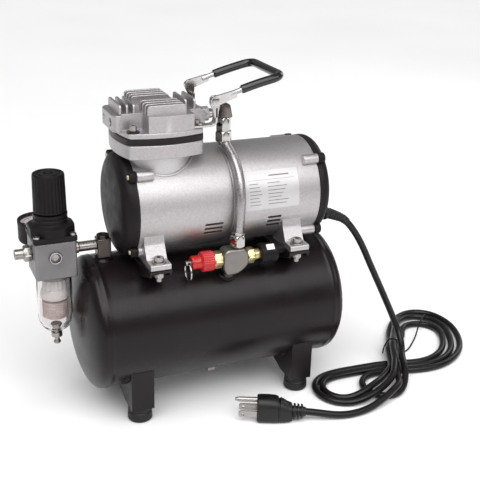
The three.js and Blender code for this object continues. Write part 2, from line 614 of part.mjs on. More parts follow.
function filterRegulator() {
  const regulator = new THREE.Group();
  regulator.position.x = REGULATOR.x;
  model.add(regulator);
  const { half, bottomZ, topZ, portZ } = REGULATOR;
  const place = (z) => [0, 0, z];

  const block = prism('z', place(bottomZ), rounded(2 * half, 2 * half, 2.5), topZ - bottomZ);
  const body = cut(block, rod('z', place(topZ - 9), 10, 12), rod('z', place(bottomZ - 1), 11.5, 12));
  part('regulator_body', body, greyCast, regulator);

  const octagon = circle(22, 8);
  const plate = prism('z', place(topZ + GAP), rounded(2 * half + 1.5, 2 * half + 1.5, 1.5), 4.7);
  const skirt = prism('z', place(topZ + 4), octagon, 10);
  const collar = rod('z', place(topZ + 13), 15, 9.6, 24);
  const neck = rod('z', place(topZ + 22), 8.5, 13, 16);
  const springRoom = rod('z', place(topZ), 10, 21, 24);
  const screwBore = rod('z', place(topZ + 15), 3.4, 25, 16);
  const bonnet = cut(join(plate, skirt, collar, neck), springRoom, screwBore);
  part('regulator_bonnet', bonnet, blackPlastic, regulator);

  const screw = join(rod('z', place(topZ + 12), 3, 38, 16), rod('z', place(topZ + 9), 8, 3.2, 24));
  part('adjusting_screw', screw, steel, regulator);

  const height = KNOB.topZ - KNOB.bottomZ;
  const side = [[0, 0], [KNOB.radius, 0], [KNOB.radius - 0.8, height], [0, height]];
  const cap = turned('z', place(KNOB.bottomZ), side, 24);
  const hollow = rod('z', place(KNOB.bottomZ - 1), 11.5, height - 4, 24);
  part('regulator_knob', cut(cap, hollow), blackPlastic, regulator);

  bowlAndFilter(regulator, place);
  gauge();

  const end = -half - GAP;
  const nut = prism('x', [end - 6.8, 0, portZ], hexagon(13), 6.8);
  const nipple = rod('x', [end - 14.4, 0, portZ], 4.6, 8);
  const through = rod('x', [end - 15, 0, portZ], 2.8, 16, 16);
  part('outlet_fitting', cut(join(nut, nipple), through), chrome, regulator);
}

function bowlAndFilter(regulator, place) {
  const { radius, bottomZ } = BOWL;
  const height = REGULATOR.bottomZ - GAP - bottomZ;
  const wall = [
    [3.5, 0], [7, 0.6], [12, 4], [15, 10], [radius, 16], [radius, height], [radius - 2, height],
    [radius - 2, 16.5], [13.2, 11], [10.8, 6.4], [6.4, 3.2], [3.5, 2.8], [3.5, 0],
  ];
  part('filter_bowl', turned('z', place(bottomZ), wall, 24), clearPlastic, regulator);
  const element = [
    [0, 97], [8, 97], [8, 115], [11, 115], [11, 124], [8.5, 127], [8.5, 141], [0, 141],
  ].map(([r, z]) => [r, z - 97]);
  part('filter_element', turned('z', place(97), element, 16), whitePlastic, regulator);
  const drain = [
    [0, 0], [2.6, 0], [3.5, 1.5], [2.2, 4], [2.2, 6.5], [5, 7.4], [5, 12], [3.2, 12], [3.2, 18],
    [5.2, 18], [5.2, 20], [0, 20],
  ];
  part('bowl_drain', turned('z', place(69.6), drain, 14), steel, regulator);
}

function gauge() {
  const { x, y, radius, bottomZ, dialZ, topZ } = GAUGE;
  const cup = [
    [0, 0], [radius - 1, 0], [radius, 1.2], [radius, topZ - bottomZ], [radius - 2, topZ - bottomZ],
    [radius - 2, dialZ - bottomZ], [0, dialZ - bottomZ],
  ];
  const start = REGULATOR.half + GAP;
  const stem = rod('y', [x, start, REGULATOR.portZ], 4.8, y - radius + 4 - start);
  const nut = prism('y', [x, start + 1.5, REGULATOR.portZ], hexagon(11), 4);
  part('gauge_case', join(turned('z', [x, y, bottomZ], cup, 24), stem, nut), blackPlastic);
  const hand = outline([[-0.9, -4], [0.9, -4], [0.4, 13.5], [-0.4, 13.5]]);
  const needle = join(prism('z', [0, 0, 0], hand, 0.8), rod('z', [0, 0, 0], 2, 1.6, 16));
  const pointer = part('gauge_needle', needle, whitePlastic);
  pointer.position.set(x, y, dialZ + 1);
  pointer.rotation.z = THREE.MathUtils.degToRad(135);
}

function cord() {
  const gland = new THREE.Group();
  gland.position.set(GLAND.faceX, GLAND.y, GLAND.z);
  model.add(gland);
  const neck = rod('x', [-8, 0, 0], 5, 8.5, 16);
  const collar = rod('x', [0, 0, 0], 6.6, 2.4, 16);
  const cone = new THREE.CylinderGeometry(4.1, 6, GLAND.tailLength, 16);
  cone.translate(0, GLAND.tailLength / 2, 0);
  cone.rotateZ(-Math.PI / 2 - THREE.MathUtils.degToRad(GLAND.droop));
  cone.rotateX(Math.PI / 2).translate(0.6, 0, 0);
  const tail = cut(solid(cone), rod('x', [-6, 0, 0], 9, 6.2, 16));
  part('cord_gland', join(neck, collar, tail), blackRubber, gland);

  part('cord_lead', tube(LEAD_ROUTE, CORD.radius, CORD.sides, 16), blackRubber);
  part('cord_hank', prism('z', [0, 0, 0], outline(HANK_OUTLINE), HANK_HEIGHT), blackRubber);
  part('cord_tail', tube(TAIL_ROUTE, CORD.radius, CORD.sides, 12), blackRubber);
}

// The plug lies with its flat side down; its own +X runs from the cord to the blades.
function plug() {
  const group = new THREE.Group();
  group.position.set(PLUG.x, PLUG.y, 0);
  group.rotation.z = THREE.MathUtils.degToRad(PLUG.turn);
  model.add(group);
  const arch = (half, height) => {
    const shape = new THREE.Shape();
    shape.moveTo(-half, 0);
    shape.lineTo(half, 0);
    shape.absarc(0, height - half, half, 0, Math.PI);
    return shape;
  };
  const body = [
    prism('x', [-21, 0, 0], arch(11, 24), 21),
    prism('x', [-27, 0, 0], arch(10, 21), 7),
    prism('x', [-32.5, 0, 0], arch(8.5, 17.5), 6),
  ];
  const taper = [[0, 0], [4.8, 0], [6.4, 15], [0, 15]];
  const relief = turned('x', [-PLUG.reliefLength, 0, 9], taper, 16);
  part('plug_body', join(...body, relief), blackRubber, group);
  const blade = (y) => box([GAP, y - 0.75, PLUG.bladeZ - 3.15], [16.8, y + 0.75, PLUG.bladeZ + 3.15]);
  part('plug_blade_live', blade(-6.35), steel, group);
  part('plug_blade_neutral', blade(6.35), steel, group);
  part('plug_ground_pin', rod('x', [GAP, 0, PLUG.groundZ], 2.4, 20.5, 16), steel, group);
}

tank();
leg('leg_bracket_left', -FOOT.x);
leg('leg_bracket_right', FOOT.x);
for (const [sideX, sideY] of corners) {
  const place = `${sideY < 0 ? 'front' : 'rear'}_${sideX < 0 ? 'left' : 'right'}`;
  foot(`foot_${place}`, sideX * FOOT.x, sideY * FOOT.y);
}
mountBracket('mount_bracket_left', PAD.leftX);
mountBracket('mount_bracket_right', PAD.rightX);
crankcase();
motorHousing();
endCaps();
powerSwitch();
motorInside();
fan('fan_left', -87.5, 7.5);
fan('fan_right', 83, 8);
crankDrive();
valvePlate();
cylinderHead();
outletLine();
handleBracket('handle_bracket_front', -1);
handleBracket('handle_bracket_rear', 1);
handle();
manifold();
tankOutlet();
filterRegulator();
cord();
plug();

export default model;
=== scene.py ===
# Airbrush compressor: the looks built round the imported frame. Lengths are millimetres from the point of
# the floor under the tank's middle, and at() turns them into the frame's metres.
from math import asin, cos, pi, radians, sin, sqrt

import bmesh
import bpy
from mathutils import Matrix, Vector


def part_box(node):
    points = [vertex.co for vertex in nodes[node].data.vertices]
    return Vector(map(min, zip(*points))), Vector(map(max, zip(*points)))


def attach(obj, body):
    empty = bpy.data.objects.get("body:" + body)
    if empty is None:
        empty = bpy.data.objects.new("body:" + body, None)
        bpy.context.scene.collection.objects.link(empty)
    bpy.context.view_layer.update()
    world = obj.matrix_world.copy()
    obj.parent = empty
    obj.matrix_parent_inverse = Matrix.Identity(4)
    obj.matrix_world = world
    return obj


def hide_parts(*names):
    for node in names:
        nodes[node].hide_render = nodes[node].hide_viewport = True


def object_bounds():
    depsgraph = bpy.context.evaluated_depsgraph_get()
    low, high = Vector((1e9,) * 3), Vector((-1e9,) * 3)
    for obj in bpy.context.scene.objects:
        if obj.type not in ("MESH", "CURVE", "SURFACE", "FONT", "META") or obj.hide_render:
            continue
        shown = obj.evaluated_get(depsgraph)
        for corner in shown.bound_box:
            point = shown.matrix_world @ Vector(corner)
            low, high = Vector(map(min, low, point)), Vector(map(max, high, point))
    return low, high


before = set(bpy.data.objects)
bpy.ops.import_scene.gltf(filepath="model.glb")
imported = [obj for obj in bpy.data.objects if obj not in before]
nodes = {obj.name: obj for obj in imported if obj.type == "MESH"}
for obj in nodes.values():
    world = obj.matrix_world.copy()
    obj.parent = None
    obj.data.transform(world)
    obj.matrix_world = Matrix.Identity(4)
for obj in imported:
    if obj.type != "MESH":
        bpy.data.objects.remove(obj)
cad_low, cad_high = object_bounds()

MM = 0.001
tank_low, tank_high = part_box("tank_shell")
TANK_CENTRE = (tank_low + tank_high) / 2
ORIGIN = Vector((TANK_CENTRE.x, TANK_CENTRE.y, cad_low.z))


def at(x, y, z):
    return ORIGIN + Vector((x, y, z)) * MM


def add_object(name, data):
    thing = bpy.data.objects.new(name, data)
    bpy.context.scene.collection.objects.link(thing)
    return thing


# ---- camera ----

CAMERA_PLACE = (-290.15, -753.9, 479.26)
CAMERA_TURN, CAMERA_DROP, CAMERA_ROLL = (radians(a) for a in (23.33, 22.01, 1.5))
CAMERA_LENS, CAMERA_SENSOR = 68.84, 36


def add_camera():
    data = bpy.data.cameras.new("camera")
    data.lens, data.sensor_width = CAMERA_LENS, CAMERA_SENSOR
    camera = add_object("camera", data)
    turn, drop, roll = CAMERA_TURN, CAMERA_DROP, CAMERA_ROLL
    ahead = Vector((sin(turn) * cos(drop), cos(turn) * cos(drop), -sin(drop)))
    level = Vector((cos(turn), -sin(turn), 0))
    above = level.cross(ahead)
    right = level * cos(roll) + above * sin(roll)
    up = above * cos(roll) - level * sin(roll)
    rotation = Matrix((right, up, -ahead)).transposed()
    camera.matrix_world = Matrix.Translation(at(*CAMERA_PLACE)) @ rotation.to_4x4()
    bpy.context.scene.camera = camera


add_camera()

# ---- materials ----

COAT_ROUGHNESS = 0.12
GRAIN_DEPTH, BRUSH_DEPTH = 0.0003, 0.0002
BRUSH_SCALE = (60, 900, 900)


def linear(hex_colour):
    channels = [((hex_colour >> shift) & 255) / 255 for shift in (16, 8, 0)]
    return [c / 12.92 if c < 0.04045 else ((c + 0.055) / 1.055) ** 2.4 for c in channels]


def finish(name, colour, roughness, metallic=0.0, mottle=(45, 0.12), grain=(900, 0.08), smear=0.08,
        wear=None, coat=0.0, clear=0.0, ior=1.5, specular=0.5, scratches=0.0):
    """A procedural finish: colour mottling, grain in the surface, uneven gloss, and wear along edges."""
    material = bpy.data.materials.new(name)
    material.use_nodes = True
    tree = material.node_tree
    shader = tree.nodes["Principled BSDF"]

    def add(kind, **settings):
        node = tree.nodes.new(kind)
        for key, value in settings.items():
            setattr(node, key, value)
        return node

    def join(output, target):
        tree.links.new(output, target)

    coordinates = add("ShaderNodeTexCoord")

    def put(node, **values):
        for key, value in values.items():
            node.inputs[key.replace("_", " ")].default_value = value

    def noise(scale, detail):
        node = add("ShaderNodeTexNoise")
        put(node, Scale=scale, Detail=detail)
        join(coordinates.outputs["Object"], node.inputs["Vector"])
        return node.outputs["Fac"]

    def mix(factor, first, second):
        node = add("ShaderNodeMix", data_type="RGBA")
        join(factor, node.inputs[0])
        if isinstance(first, list):
            node.inputs[6].default_value = first
        else:
            join(first, node.inputs[6])
        node.inputs[7].default_value = second
        return node.outputs[2]

    def spread(value, low, high, start=0.3, end=0.7):
        node = add("ShaderNodeMapRange")
        join(value, node.inputs["Value"])
        put(node, From_Min=start, From_Max=end, To_Min=low, To_Max=high)
        return node.outputs["Result"]

    def bump(height, strength, depth):
        node = add("ShaderNodeBump")
        put(node, Strength=strength, Distance=depth)
        join(height, node.inputs["Height"])
        return node

    base = linear(colour)
    dark = [c * (1 - mottle[1]) for c in base] + [1]
    light = [min(1, c * (1 + mottle[1])) for c in base] + [1]
    shade = mix(spread(noise(mottle[0], 5), 0, 1), dark, light)
    speckle = noise(grain[0], 2)
    shade = mix(spread(speckle, 0, 0.35, 0.55, 0.75), shade, dark)
    if wear:
        edge = add("ShaderNodeNewGeometry").outputs["Pointiness"]
        rubbed = spread(edge, 0, wear[1], 0.53, 0.6)
        shade = mix(rubbed, shade, linear(wear[0]) + [1])
    join(shade, shader.inputs["Base Color"])
    gloss = spread(noise(mottle[0] * 1.7, 4), max(0.02, roughness - smear), min(1, roughness + smear))
    join(gloss, shader.inputs["Roughness"])
    normal = bump(speckle, grain[1], GRAIN_DEPTH).outputs["Normal"]
    if scratches:
        fine = add("ShaderNodeTexNoise")
        brushed = add("ShaderNodeMapping")
        put(brushed, Scale=BRUSH_SCALE)
        join(coordinates.outputs["Object"], brushed.inputs["Vector"])
        join(brushed.outputs["Vector"], fine.inputs["Vector"])
        put(fine, Scale=1)
        brush = bump(fine.outputs["Fac"], scratches, BRUSH_DEPTH)
        join(normal, brush.inputs["Normal"])
        normal = brush.outputs["Normal"]
    join(normal, shader.inputs["Normal"])
    put(shader, Metallic=metallic, Specular_IOR_Level=specular, Coat_Weight=coat,
        Coat_Roughness=COAT_ROUGHNESS, Transmission_Weight=clear, IOR=ior)
    return material


LOOKS = {
    # colour, roughness, metallic, mottle, grain, smear, wear, coat
    "black_paint": (0x150F11, 0.3, 0, (22, 0.2), (700, 0.04), 0.05, (0x3A3535, 0.3)),
    "silver_casting": (0xB6B2B3, 0.38, 0.88, (650, 0.1), (1300, 0.9), 0.05, (0xE4E3E4, 0.4)),
    "grey_casting": (0x787577, 0.42, 0.75, (60, 0.1), (1500, 0.35), 0.07, (0xB9B9BC, 0.4)),
    "black_plastic": (0x171315, 0.45, 0, (50, 0.2), (1600, 0.25), 0.08, (0x2B282A, 0.4)),
    "black_rubber": (0x131113, 0.5, 0, (70, 0.25), (1200, 0.25), 0.1, (0x29282B, 0.4)),
    "grip_rubber": (0x100F10, 0.2, 0, (70, 0.25), (900, 0.08), 0.06, (0x29282B, 0.3), 0.2),
    "cord_rubber": (0x110E0F, 0.33, 0, (90, 0.3), (1500, 0.1), 0.07),
    "plug_rubber": (0x131214, 0.42, 0, (60, 0.25), (1400, 0.25), 0.08, (0x303033, 0.4)),
    "red_plastic": (0xAE0C0E, 0.3, 0, (80, 0.12), (900, 0.1), 0.06, (0xE8605C, 0.4), 0.2),
    "hose_plastic": (0xF4F2F3, 0.05, 0, (40, 0.02), (300, 0.02), 0.02),
    "clear_plastic": (0xF6F3F3, 0.04, 0, (40, 0.02), (300, 0.02), 0.02),
    "white_plastic": (0xE4E1E0, 0.5, 0, (90, 0.06), (900, 0.2), 0.06),
    "filter_mesh": (0xC9BBB8, 0.7, 0, (200, 0.15), (1800, 0.6), 0.08),
    "chrome": (0xB3AFAE, 0.14, 1, (60, 0.06), (1400, 0.05), 0.05, (0xF0F0F0, 0.3)),
    "dark_nickel": (0x433C39, 0.28, 0.9, (70, 0.18), (1100, 0.15), 0.08, (0x9C958E, 0.5)),
    "braided_hose": (0xB9B6B7, 0.3, 0.95, (300, 0.05), (1500, 0.05), 0.04),
    "brass": (0xC6B78C, 0.3, 0.9, (70, 0.08), (1100, 0.04), 0.07, (0xE4D3A6, 0.4)),
    "pale_brass": (0xCFC4A4, 0.3, 0.85, (70, 0.1), (1100, 0.1), 0.07, (0xEEE6CE, 0.4)),
    "steel": (0xA19C98, 0.28, 0.95, (70, 0.1), (1200, 0.12), 0.08, (0xD2D3D6, 0.4)),
    "copper": (0xA9653B, 0.35, 0.9, (120, 0.2), (900, 0.3), 0.08),
    "manifold": (0x736F6C, 0.36, 0.85, (90, 0.14), (900, 0.25), 0.1, (0xB9B2AA, 0.5)),
    "sticker": (0xC2C0C1, 0.36, 0.35, (60, 0.03), (800, 0.05), 0.05),
    "sticker_ink": (0x747174, 0.5, 0, (200, 0.2), (900, 0.05), 0.05),
    "dark_steel": (0x2E2D31, 0.3, 0.8, (90, 0.2), (1200, 0.15), 0.08, (0x77777C, 0.5)),
}
EXTRAS = {"black_paint": {"specular": 0.25}, "black_plastic": {"specular": 0.16},
    "black_rubber": {"specular": 0.4}, "cord_rubber": {"specular": 0.3}, "plug_rubber": {"specular": 0.4},
    "hose_plastic": {"clear": 1, "ior": 1.42}, "clear_plastic": {"clear": 1, "ior": 1.2},
    "steel": {"scratches": 0.1}}
FINISHES = {name: finish(name, *look, **EXTRAS.get(name, {})) for name, look in LOOKS.items()}

# ---- shapes: lists of points and faces in millimetres ----

CORNERS = [(-1, -1), (1, -1), (1, 1), (-1, 1)]
SIDES, ENDS = ("left", "right"), ("front", "rear")


def axes(axis):
    """Places a point (across, across, along) with its last number along an axis of the frame."""
    order = {"x": (2, 0, 1), "y": (0, 2, 1), "z": (0, 1, 2)}[axis]
    return lambda *point: [point[i] for i in order]


def soften(points, size, closed=True, segments=4):
    """Rounds the corners of a flat outline."""
    points = [Vector(p) for p in points]
    count = len(points)
    made = []
    for i, point in enumerate(points):
        if not closed and i in (0, count - 1):
            made.append(point)
            continue
        before, after = points[i - 1] - point, points[(i + 1) % count] - point
        reach = min(size, before.length * 0.45, after.length * 0.45)
        turn = before.angle(after, 0) if before.length * after.length > 0 else pi
        if reach < 1e-4 or turn > radians(172):
            made.append(point)
            continue
        start, end = point + before.normalized() * reach, point + after.normalized() * reach
        for k in range(segments + 1):
            t = k / segments
            made.append(start * (1 - t) ** 2 + point * 2 * t * (1 - t) + end * t ** 2)
    return made


def rings_to_shape(rings, closed=False):
    """Rings of equal length, or single points, joined into one surface."""
    verts, faces, index = [], [], []
    for ring in rings:
        index.append(list(range(len(verts), len(verts) + len(ring))))
        verts.extend(ring)
    pairs = list(zip(index, index[1:]))
    if closed:
        pairs.append((index[-1], index[0]))
    for a, b in pairs:
        count = max(len(a), len(b))
        for i in range(count):
            j = (i + 1) % count
            corners = [a[i % len(a)], a[j % len(a)], b[j % len(b)], b[i % len(b)]]
            face = list(dict.fromkeys(corners))
            if len(face) > 2:
                faces.append(face)
    if not closed:
        for ring in (index[0], index[-1]):
            if len(ring) > 2:
                faces.append(list(ring))
    return verts, faces


def lathe(axis, start, profile, steps=64, closed=False, radius_at=None):
    """A profile of (radius, distance) turned about a row axis. radius_at may flute or flatten it."""
    place, origin, rings = axes(axis), Vector(start), []
    for radius, along in profile:
        if radius < 1e-4:
            rings.append([origin + Vector(place(0, 0, along))])
            continue
        ring = []
        for i in range(steps):
            angle = 2 * pi * i / steps
            r = radius_at(radius, along, angle) if radius_at else radius
            ring.append(origin + Vector(place(r * cos(angle), r * sin(angle), along)))
        rings.append(ring)
    return rings_to_shape(rings, closed)


def turned(axis, start, outline, size, steps=64, closed=False, radius_at=None):
    """A lathe of an outline with its corners rounded."""
    return lathe(axis, start, soften(outline, size, closed), steps, closed, radius_at)


def rod(axis, start, radius, length, edge=0.4, steps=48):
    return turned(axis, start, [(0, 0), (radius, 0), (radius, length), (0, length)], edge, steps)


def ring_shape(axis, start, inner, outer, length, edge=0.3, steps=48):
    outline = [(inner, 0), (outer, 0), (outer, length), (inner, length)]
    return turned(axis, start, outline, edge, steps, True)


def nut(axis, start, flats, length, edge=1.0, sides=6, turn=0.0):
    """A hexagon with turned chamfers at both ends."""
    corner = flats / 2 / cos(pi / sides)

    def radius_at(radius, along, angle):
        step = 2 * pi / sides
        part = (angle - turn) % step - step / 2
        return min(flats / 2 / cos(part), radius)

    low = flats / 2 * 0.96
    profile = [(0, 0), (low, 0), (corner, edge), (corner, length - edge), (low, length), (0, length)]
    return lathe(axis, start, profile, 96, radius_at=radius_at)


def prism(axis, start, outline, length):
    place, origin = axes(axis), Vector(start)
    rings = [[origin + Vector(place(u, v, w)) for u, v in outline] for w in (0, length)]
    return rings_to_shape(rings)


def square(x, y, half):
    return [(x + u * half, y + v * half) for u, v in CORNERS]


def block(low, high):
    (x0, y0, z0), (x1, y1, z1) = low, high
    return prism("z", (0, 0, z0), [(x0, y0), (x1, y0), (x1, y1), (x0, y1)], z1 - z0)


def between(p, q, start, end, t):
    return p * ((end - t) / (end - start)) + q * ((t - start) / (end - start))


def smooth_path(points, step=2.0, rounds=0):
    """A centripetal curve through the points, about step apart, then relaxed a little."""
    points = [Vector(p) for p in points]
    padded = [points[0] * 2 - points[1], *points, points[-1] * 2 - points[-2]]
    path = []
    for p0, p1, p2, p3 in zip(padded, padded[1:], padded[2:], padded[3:]):
        t1 = sqrt((p1 - p0).length)
        t2 = t1 + sqrt((p2 - p1).length)
        t3 = t2 + sqrt((p3 - p2).length)
        count = max(2, int((p2 - p1).length / step) + 1)
        for k in range(count):
            t = t1 + (t2 - t1) * k / count
            middle = between(p1, p2, t1, t2, t)
            first = between(between(p0, p1, 0, t1, t), middle, 0, t2, t)
            last = between(middle, between(p2, p3, t2, t3, t), t1, t3, t)
            path.append(between(first, last, t1, t2, t))
    path.append(points[-1])
    for _ in range(rounds):
        inner = [path[i] * 0.5 + (path[i - 1] + path[i + 1]) * 0.25 for i in range(2, len(path) - 2)]
        path = path[:2] + inner + path[-2:]
    return path


def frames_along(path):
    """A steady pair of cross directions at each point of a path."""
    found, side = [], None
    for i, point in enumerate(path):
        ahead = (path[min(i + 1, len(path) - 1)] - path[max(i - 1, 0)]).normalized()
        if side is None:
            side = ahead.orthogonal()
        side = (side - ahead * side.dot(ahead)).normalized()
        found.append((point, side, ahead.cross(side)))
    return found


def sweep(path, radius, sides=20, radii=None):
    """A round tube along a path, closed at both ends."""
    rings = []
    for i, (point, side, up) in enumerate(frames_along(path)):
        r = radii[i] if radii else radius
        turns = [2 * pi * k / sides for k in range(sides)]
        rings.append([point + (side * cos(a) + up * sin(a)) * r for a in turns])
    rings.insert(0, [path[0]])
    rings.append([path[-1]])
    return rings_to_shape(rings)


def helix_round(path, radius, turns, phase, hand=1):
    frames = frames_along(path)
    made = []
    for i, (point, side, up) in enumerate(frames):
        angle = phase + hand * 2 * pi * turns * i / (len(frames) - 1)
        made.append(point + (side * cos(angle) + up * sin(angle)) * radius)
    return made


def tilted(place, degrees, axis):
    """Turns about an axis, then moves to a place."""
    return Matrix.Translation(place) @ Matrix.Rotation(radians(degrees), 4, axis)


def moved(shape, matrix):
    verts, faces = shape
    return [matrix @ Vector(v) for v in verts], faces


def merged(*shapes):
    verts, faces = [], []
    for v, f in shapes:
        offset = len(verts)
        verts.extend(v)
        faces.extend([[i + offset for i in face] for face in f])
    return verts, faces


def to_mesh(name, shape):
    verts, faces = shape
    mesh = bpy.data.meshes.new(name)
    mesh.from_pydata([tuple(v) for v in verts], [], faces)
    work = bmesh.new()
    work.from_mesh(mesh)
    bmesh.ops.remove_doubles(work, verts=work.verts, dist=1e-5)
    bmesh.ops.recalc_face_normals(work, faces=work.faces)
    work.to_mesh(mesh)
    work.free()
    return mesh


def carve(shape, joins=(), cuts=()):
    """Joins shapes to one and cuts others from it, as closed solids."""
    base = add_object("carve", to_mesh("carve", shape))
    helpers = []
    for operation, others in (("UNION", joins), ("DIFFERENCE", cuts)):
        for other in others:
            helper = add_object("helper", to_mesh("helper", other))
            helpers.append(helper)
            modifier = base.modifiers.new("carve", "BOOLEAN")
            modifier.operation, modifier.object, modifier.solver = operation, helper, "EXACT"
    graph = bpy.context.evaluated_depsgraph_get()
    done = bpy.data.meshes.new_from_object(base.evaluated_get(graph))
    made = [v.co.copy() for v in done.vertices], [list(p.vertices) for p in done.polygons]
    for thing in (base, *helpers):
        data = thing.data
        bpy.data.objects.remove(thing)
        bpy.data.meshes.remove(data)
    return made


def ease(thing, bevel, angle, segments=2):
    """Edges rounded a little."""
    if bevel:
        modifier = thing.modifiers.new("edges", "BEVEL")
        modifier.width, modifier.segments = bevel * MM, segments
        modifier.limit_method, modifier.angle_limit = "ANGLE", radians(angle)
        modifier.harden_normals = True


def piece(name, shape, look, stands_for=(), body="base", bevel=0.0, angle=38, segments=2):
    """A shape as a visible piece: smooth faces with crisp edges, riding on a body."""
    mesh = to_mesh(name, shape)
    mesh.transform(Matrix.Translation(ORIGIN) @ Matrix.Scale(MM, 4))
    mesh.materials.append(FINISHES[look])
    thing = add_object(name, mesh)
    mesh.shade_smooth()
    mesh.set_sharp_from_angle(angle=radians(angle))
    ease(thing, bevel, angle, segments)
    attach(thing, body)
    if stands_for:
        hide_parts(*([stands_for] if isinstance(stands_for, str) else stands_for))
    return thing


def keep(name, look, bevel=0.4, angle=38):
    """A CAD node that stays: welded corners, eased edges and its own finish."""
    thing = nodes[name]
    mesh = thing.data
    if "custom_normal" in mesh.attributes:
        mesh.attributes.remove(mesh.attributes["custom_normal"])
    weld = thing.modifiers.new("weld", "WELD")
    weld.merge_threshold = 1e-5
    mesh.shade_smooth()
    ease(thing, bevel, angle)
    mesh.materials.clear()
    mesh.materials.append(FINISHES[look])
    return thing


# ---- cord and plug ----

CORD_RADIUS, CORD_REST = 3.4, 3.5
CORD_STEP, CORD_RELAX = 2.5, 12
BUNDLE_PLACE = (202.4, -27)
BUNDLE_AHEAD, BUNDLE_SIDE = (-0.396, -0.918), (0.918, -0.396)


def on(along, aside, z):
    """A point of the tied bundle: along it towards the front, and aside to its right."""
    (px, py), (ax, ay), (sx, sy) = BUNDLE_PLACE, BUNDLE_AHEAD, BUNDLE_SIDE
    return px + ax * along + sx * aside, py + ay * along + sy * aside, z


# A point of two numbers lies on the floor.
CORD_ROUTE = [
    # down from the gland, on to the bundle
    (127.6, -25, 168.9), (131.5, -25, 167.2), (137, -25, 162.8), (144, -25, 154.6), (154.5, -25, 138.8),
    (168, -25, 112.5), (184, -25, 81.5), (197.8, -26, 53.5), (202.8, -28.6, 41), (204.6, -35.2, 30.5),
    (202.4, -44.6, 23.2),
    # over the bundle and round the small loop
    on(26, 5.4, 19.2), on(38, 5.6, 17.2), on(50, 6.4, 12.8), on(60, 4.8, 8.4), (175.5, -92.5, 4.8),
    (165, -98, 3.6), (153.2, -97), (143.8, -89.5), (140.4, -78), (143.5, -66), (152, -57.5),
    (163.5, -54.2),
    # round the outer right ring and back along the bundle
    (176, -54.8), (188, -57.2), (200, -60.6), (213, -63.8), (229, -65.2), (246, -62.5), (264, -54),
    (281, -39), (294, -18), (301.5, 5), (302, 23), (297.5, 39), (285.5, 50.5), (269, 52.5), (252.5, 45),
    (238, 32), (225.5, 16, 3.8), on(-27, 1, 5.8), on(-13, -1.6, 8.6), on(0, -3.8, 10.2),
    on(13, -4.9, 10.5), on(27, -5.3, 10.6), on(38, -6, 10.6),
    # round the inner left loop
    (170.5, -68.5, 10.6), (160, -76.5, 10.7), (148.5, -82.8, 10.9), (136.5, -87.6, 9.4),
    (124.5, -89.3, 6), (114, -87.2, 3.8), (106.2, -81.8), (101.7, -74), (101, -65.6), (103.2, -57.6),
    (108.8, -51), (116.5, -47.4), (125.5, -46.2), (136.5, -46), (150, -46.5), (164, -47.1),
    # round the middle right ring
    (177, -47.8), (190, -50.2), (202, -53.6), (216, -56.8), (234, -57.2), (252, -52), (268.5, -40),
    (281.5, -21.5), (289.8, -1.5), (292.5, 14), (289, 30), (278, 41), (263, 42.5, 4),
    (248.5, 34.5, 5.5), (235.5, 20, 8.6), on(-34, 6.6, 10.6), on(-20, 3.6, 13), on(-7, 1.2, 15.2),
    on(6, -0.6, 16.5), on(20, -1.6, 16.8), on(32, -2, 17),
    # round the outer left loop
    on(42, -3.6, 17.2), (174.6, -76, 15.8), (165.5, -84.4, 13), (155, -90.4, 11.2), (143, -95, 9.4),
    (130, -97.4, 6.5), (118.5, -96.8, 4.2), (108.2, -93.2), (100, -86.8), (94.8, -77.8), (93.2, -67.4),
    (95.4, -56.8), (101.5, -48), (110.5, -42), (121.5, -39.4), (134.5, -38.8), (150, -39.3), (165, -40),
    # round the inner right ring
    (178, -40.8), (191, -43.2), (204, -46.6), (217, -49.6), (231, -49.6), (246.5, -44.8), (261, -34.5),
    (273, -19), (279.9, -5), (282.3, 5.6), (279.6, 16.2), (271.9, 24.1), (261.4, 27.2), (251.3, 25),
    (243, 17.6, 3.8), (234.5, 3.5, 5.2), on(-17, 8.4, 7.6), on(-4, 5, 9.6), on(8, 2.8, 10.4),
    on(22, 1.9, 10.5), on(37, 0.6, 10.6),
    # out to the plug
    on(48, -1.2, 10.6), on(59, -2.4, 11.2), (172, -91.8, 11.5), (162.4, -97.6, 10.9), (152, -103, 9),
    (140, -107.4, 6.3), (128, -110.8, 4.2), (114, -113), (100, -112.6, 3.6), (86.5, -109.6, 5),
    (75, -106, 7.4), (61.5, -101.1, 9),
]


def add_cord():
    route = [p if len(p) == 3 else (*p, CORD_REST) for p in CORD_ROUTE]
    path = [at(*p) for p in smooth_path(route, CORD_STEP, CORD_RELAX)]
    length = sum((b - a).length for a, b in zip(path, path[1:]))
    data = bpy.data.curves.new("power_cord", "CURVE")
    data.dimensions, data.bevel_depth, data.bevel_resolution = "3D", CORD_RADIUS * MM, 6
    data.use_fill_caps = True
    spline = data.splines.new("POLY")
    spline.points.add(len(path) - 1)
    for point, place in zip(spline.points, path):
        point.co = (*place, 1)
    spline.use_smooth = True
    data.materials.append(FINISHES["cord_rubber"])
    cord = add_object("power_cord", data)
    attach(cord, "base")
    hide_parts("cord_lead", "cord_hank", "cord_tail")
    return cord, path[0], length


def add_gland():
    """The strain relief: a collar and a ribbed tail that droops with the cord."""
    y, z, root, tip, groove = -25, 175, 5.7, 3.8, 0.45
    collar = turned("x", (0, y, z), [(0, 102.5), (5, 102.5), (5, 110.3), (6.6, 110.3), (6.6, 112.6),
        (5.6, 113.4), (0, 113.4)], 0.4)
    route = smooth_path([(111, y, z), (115, y, 174.3), (120, y, 172.4), (126, y, 169.8), (132, y, 166.8),
        (137, y, 162.8)], 0.5)
    radii = []
    for i in range(len(route)):
        share = i / (len(route) - 1)
        grooved = (i // 3) % 2 and 0.12 < share < 0.8
        radii.append(root - (root - tip) * share - (groove if grooved else 0))
    piece("cord_strain_relief", merged(collar, sweep(route, 0, 32, radii)), "black_rubber", "cord_gland")


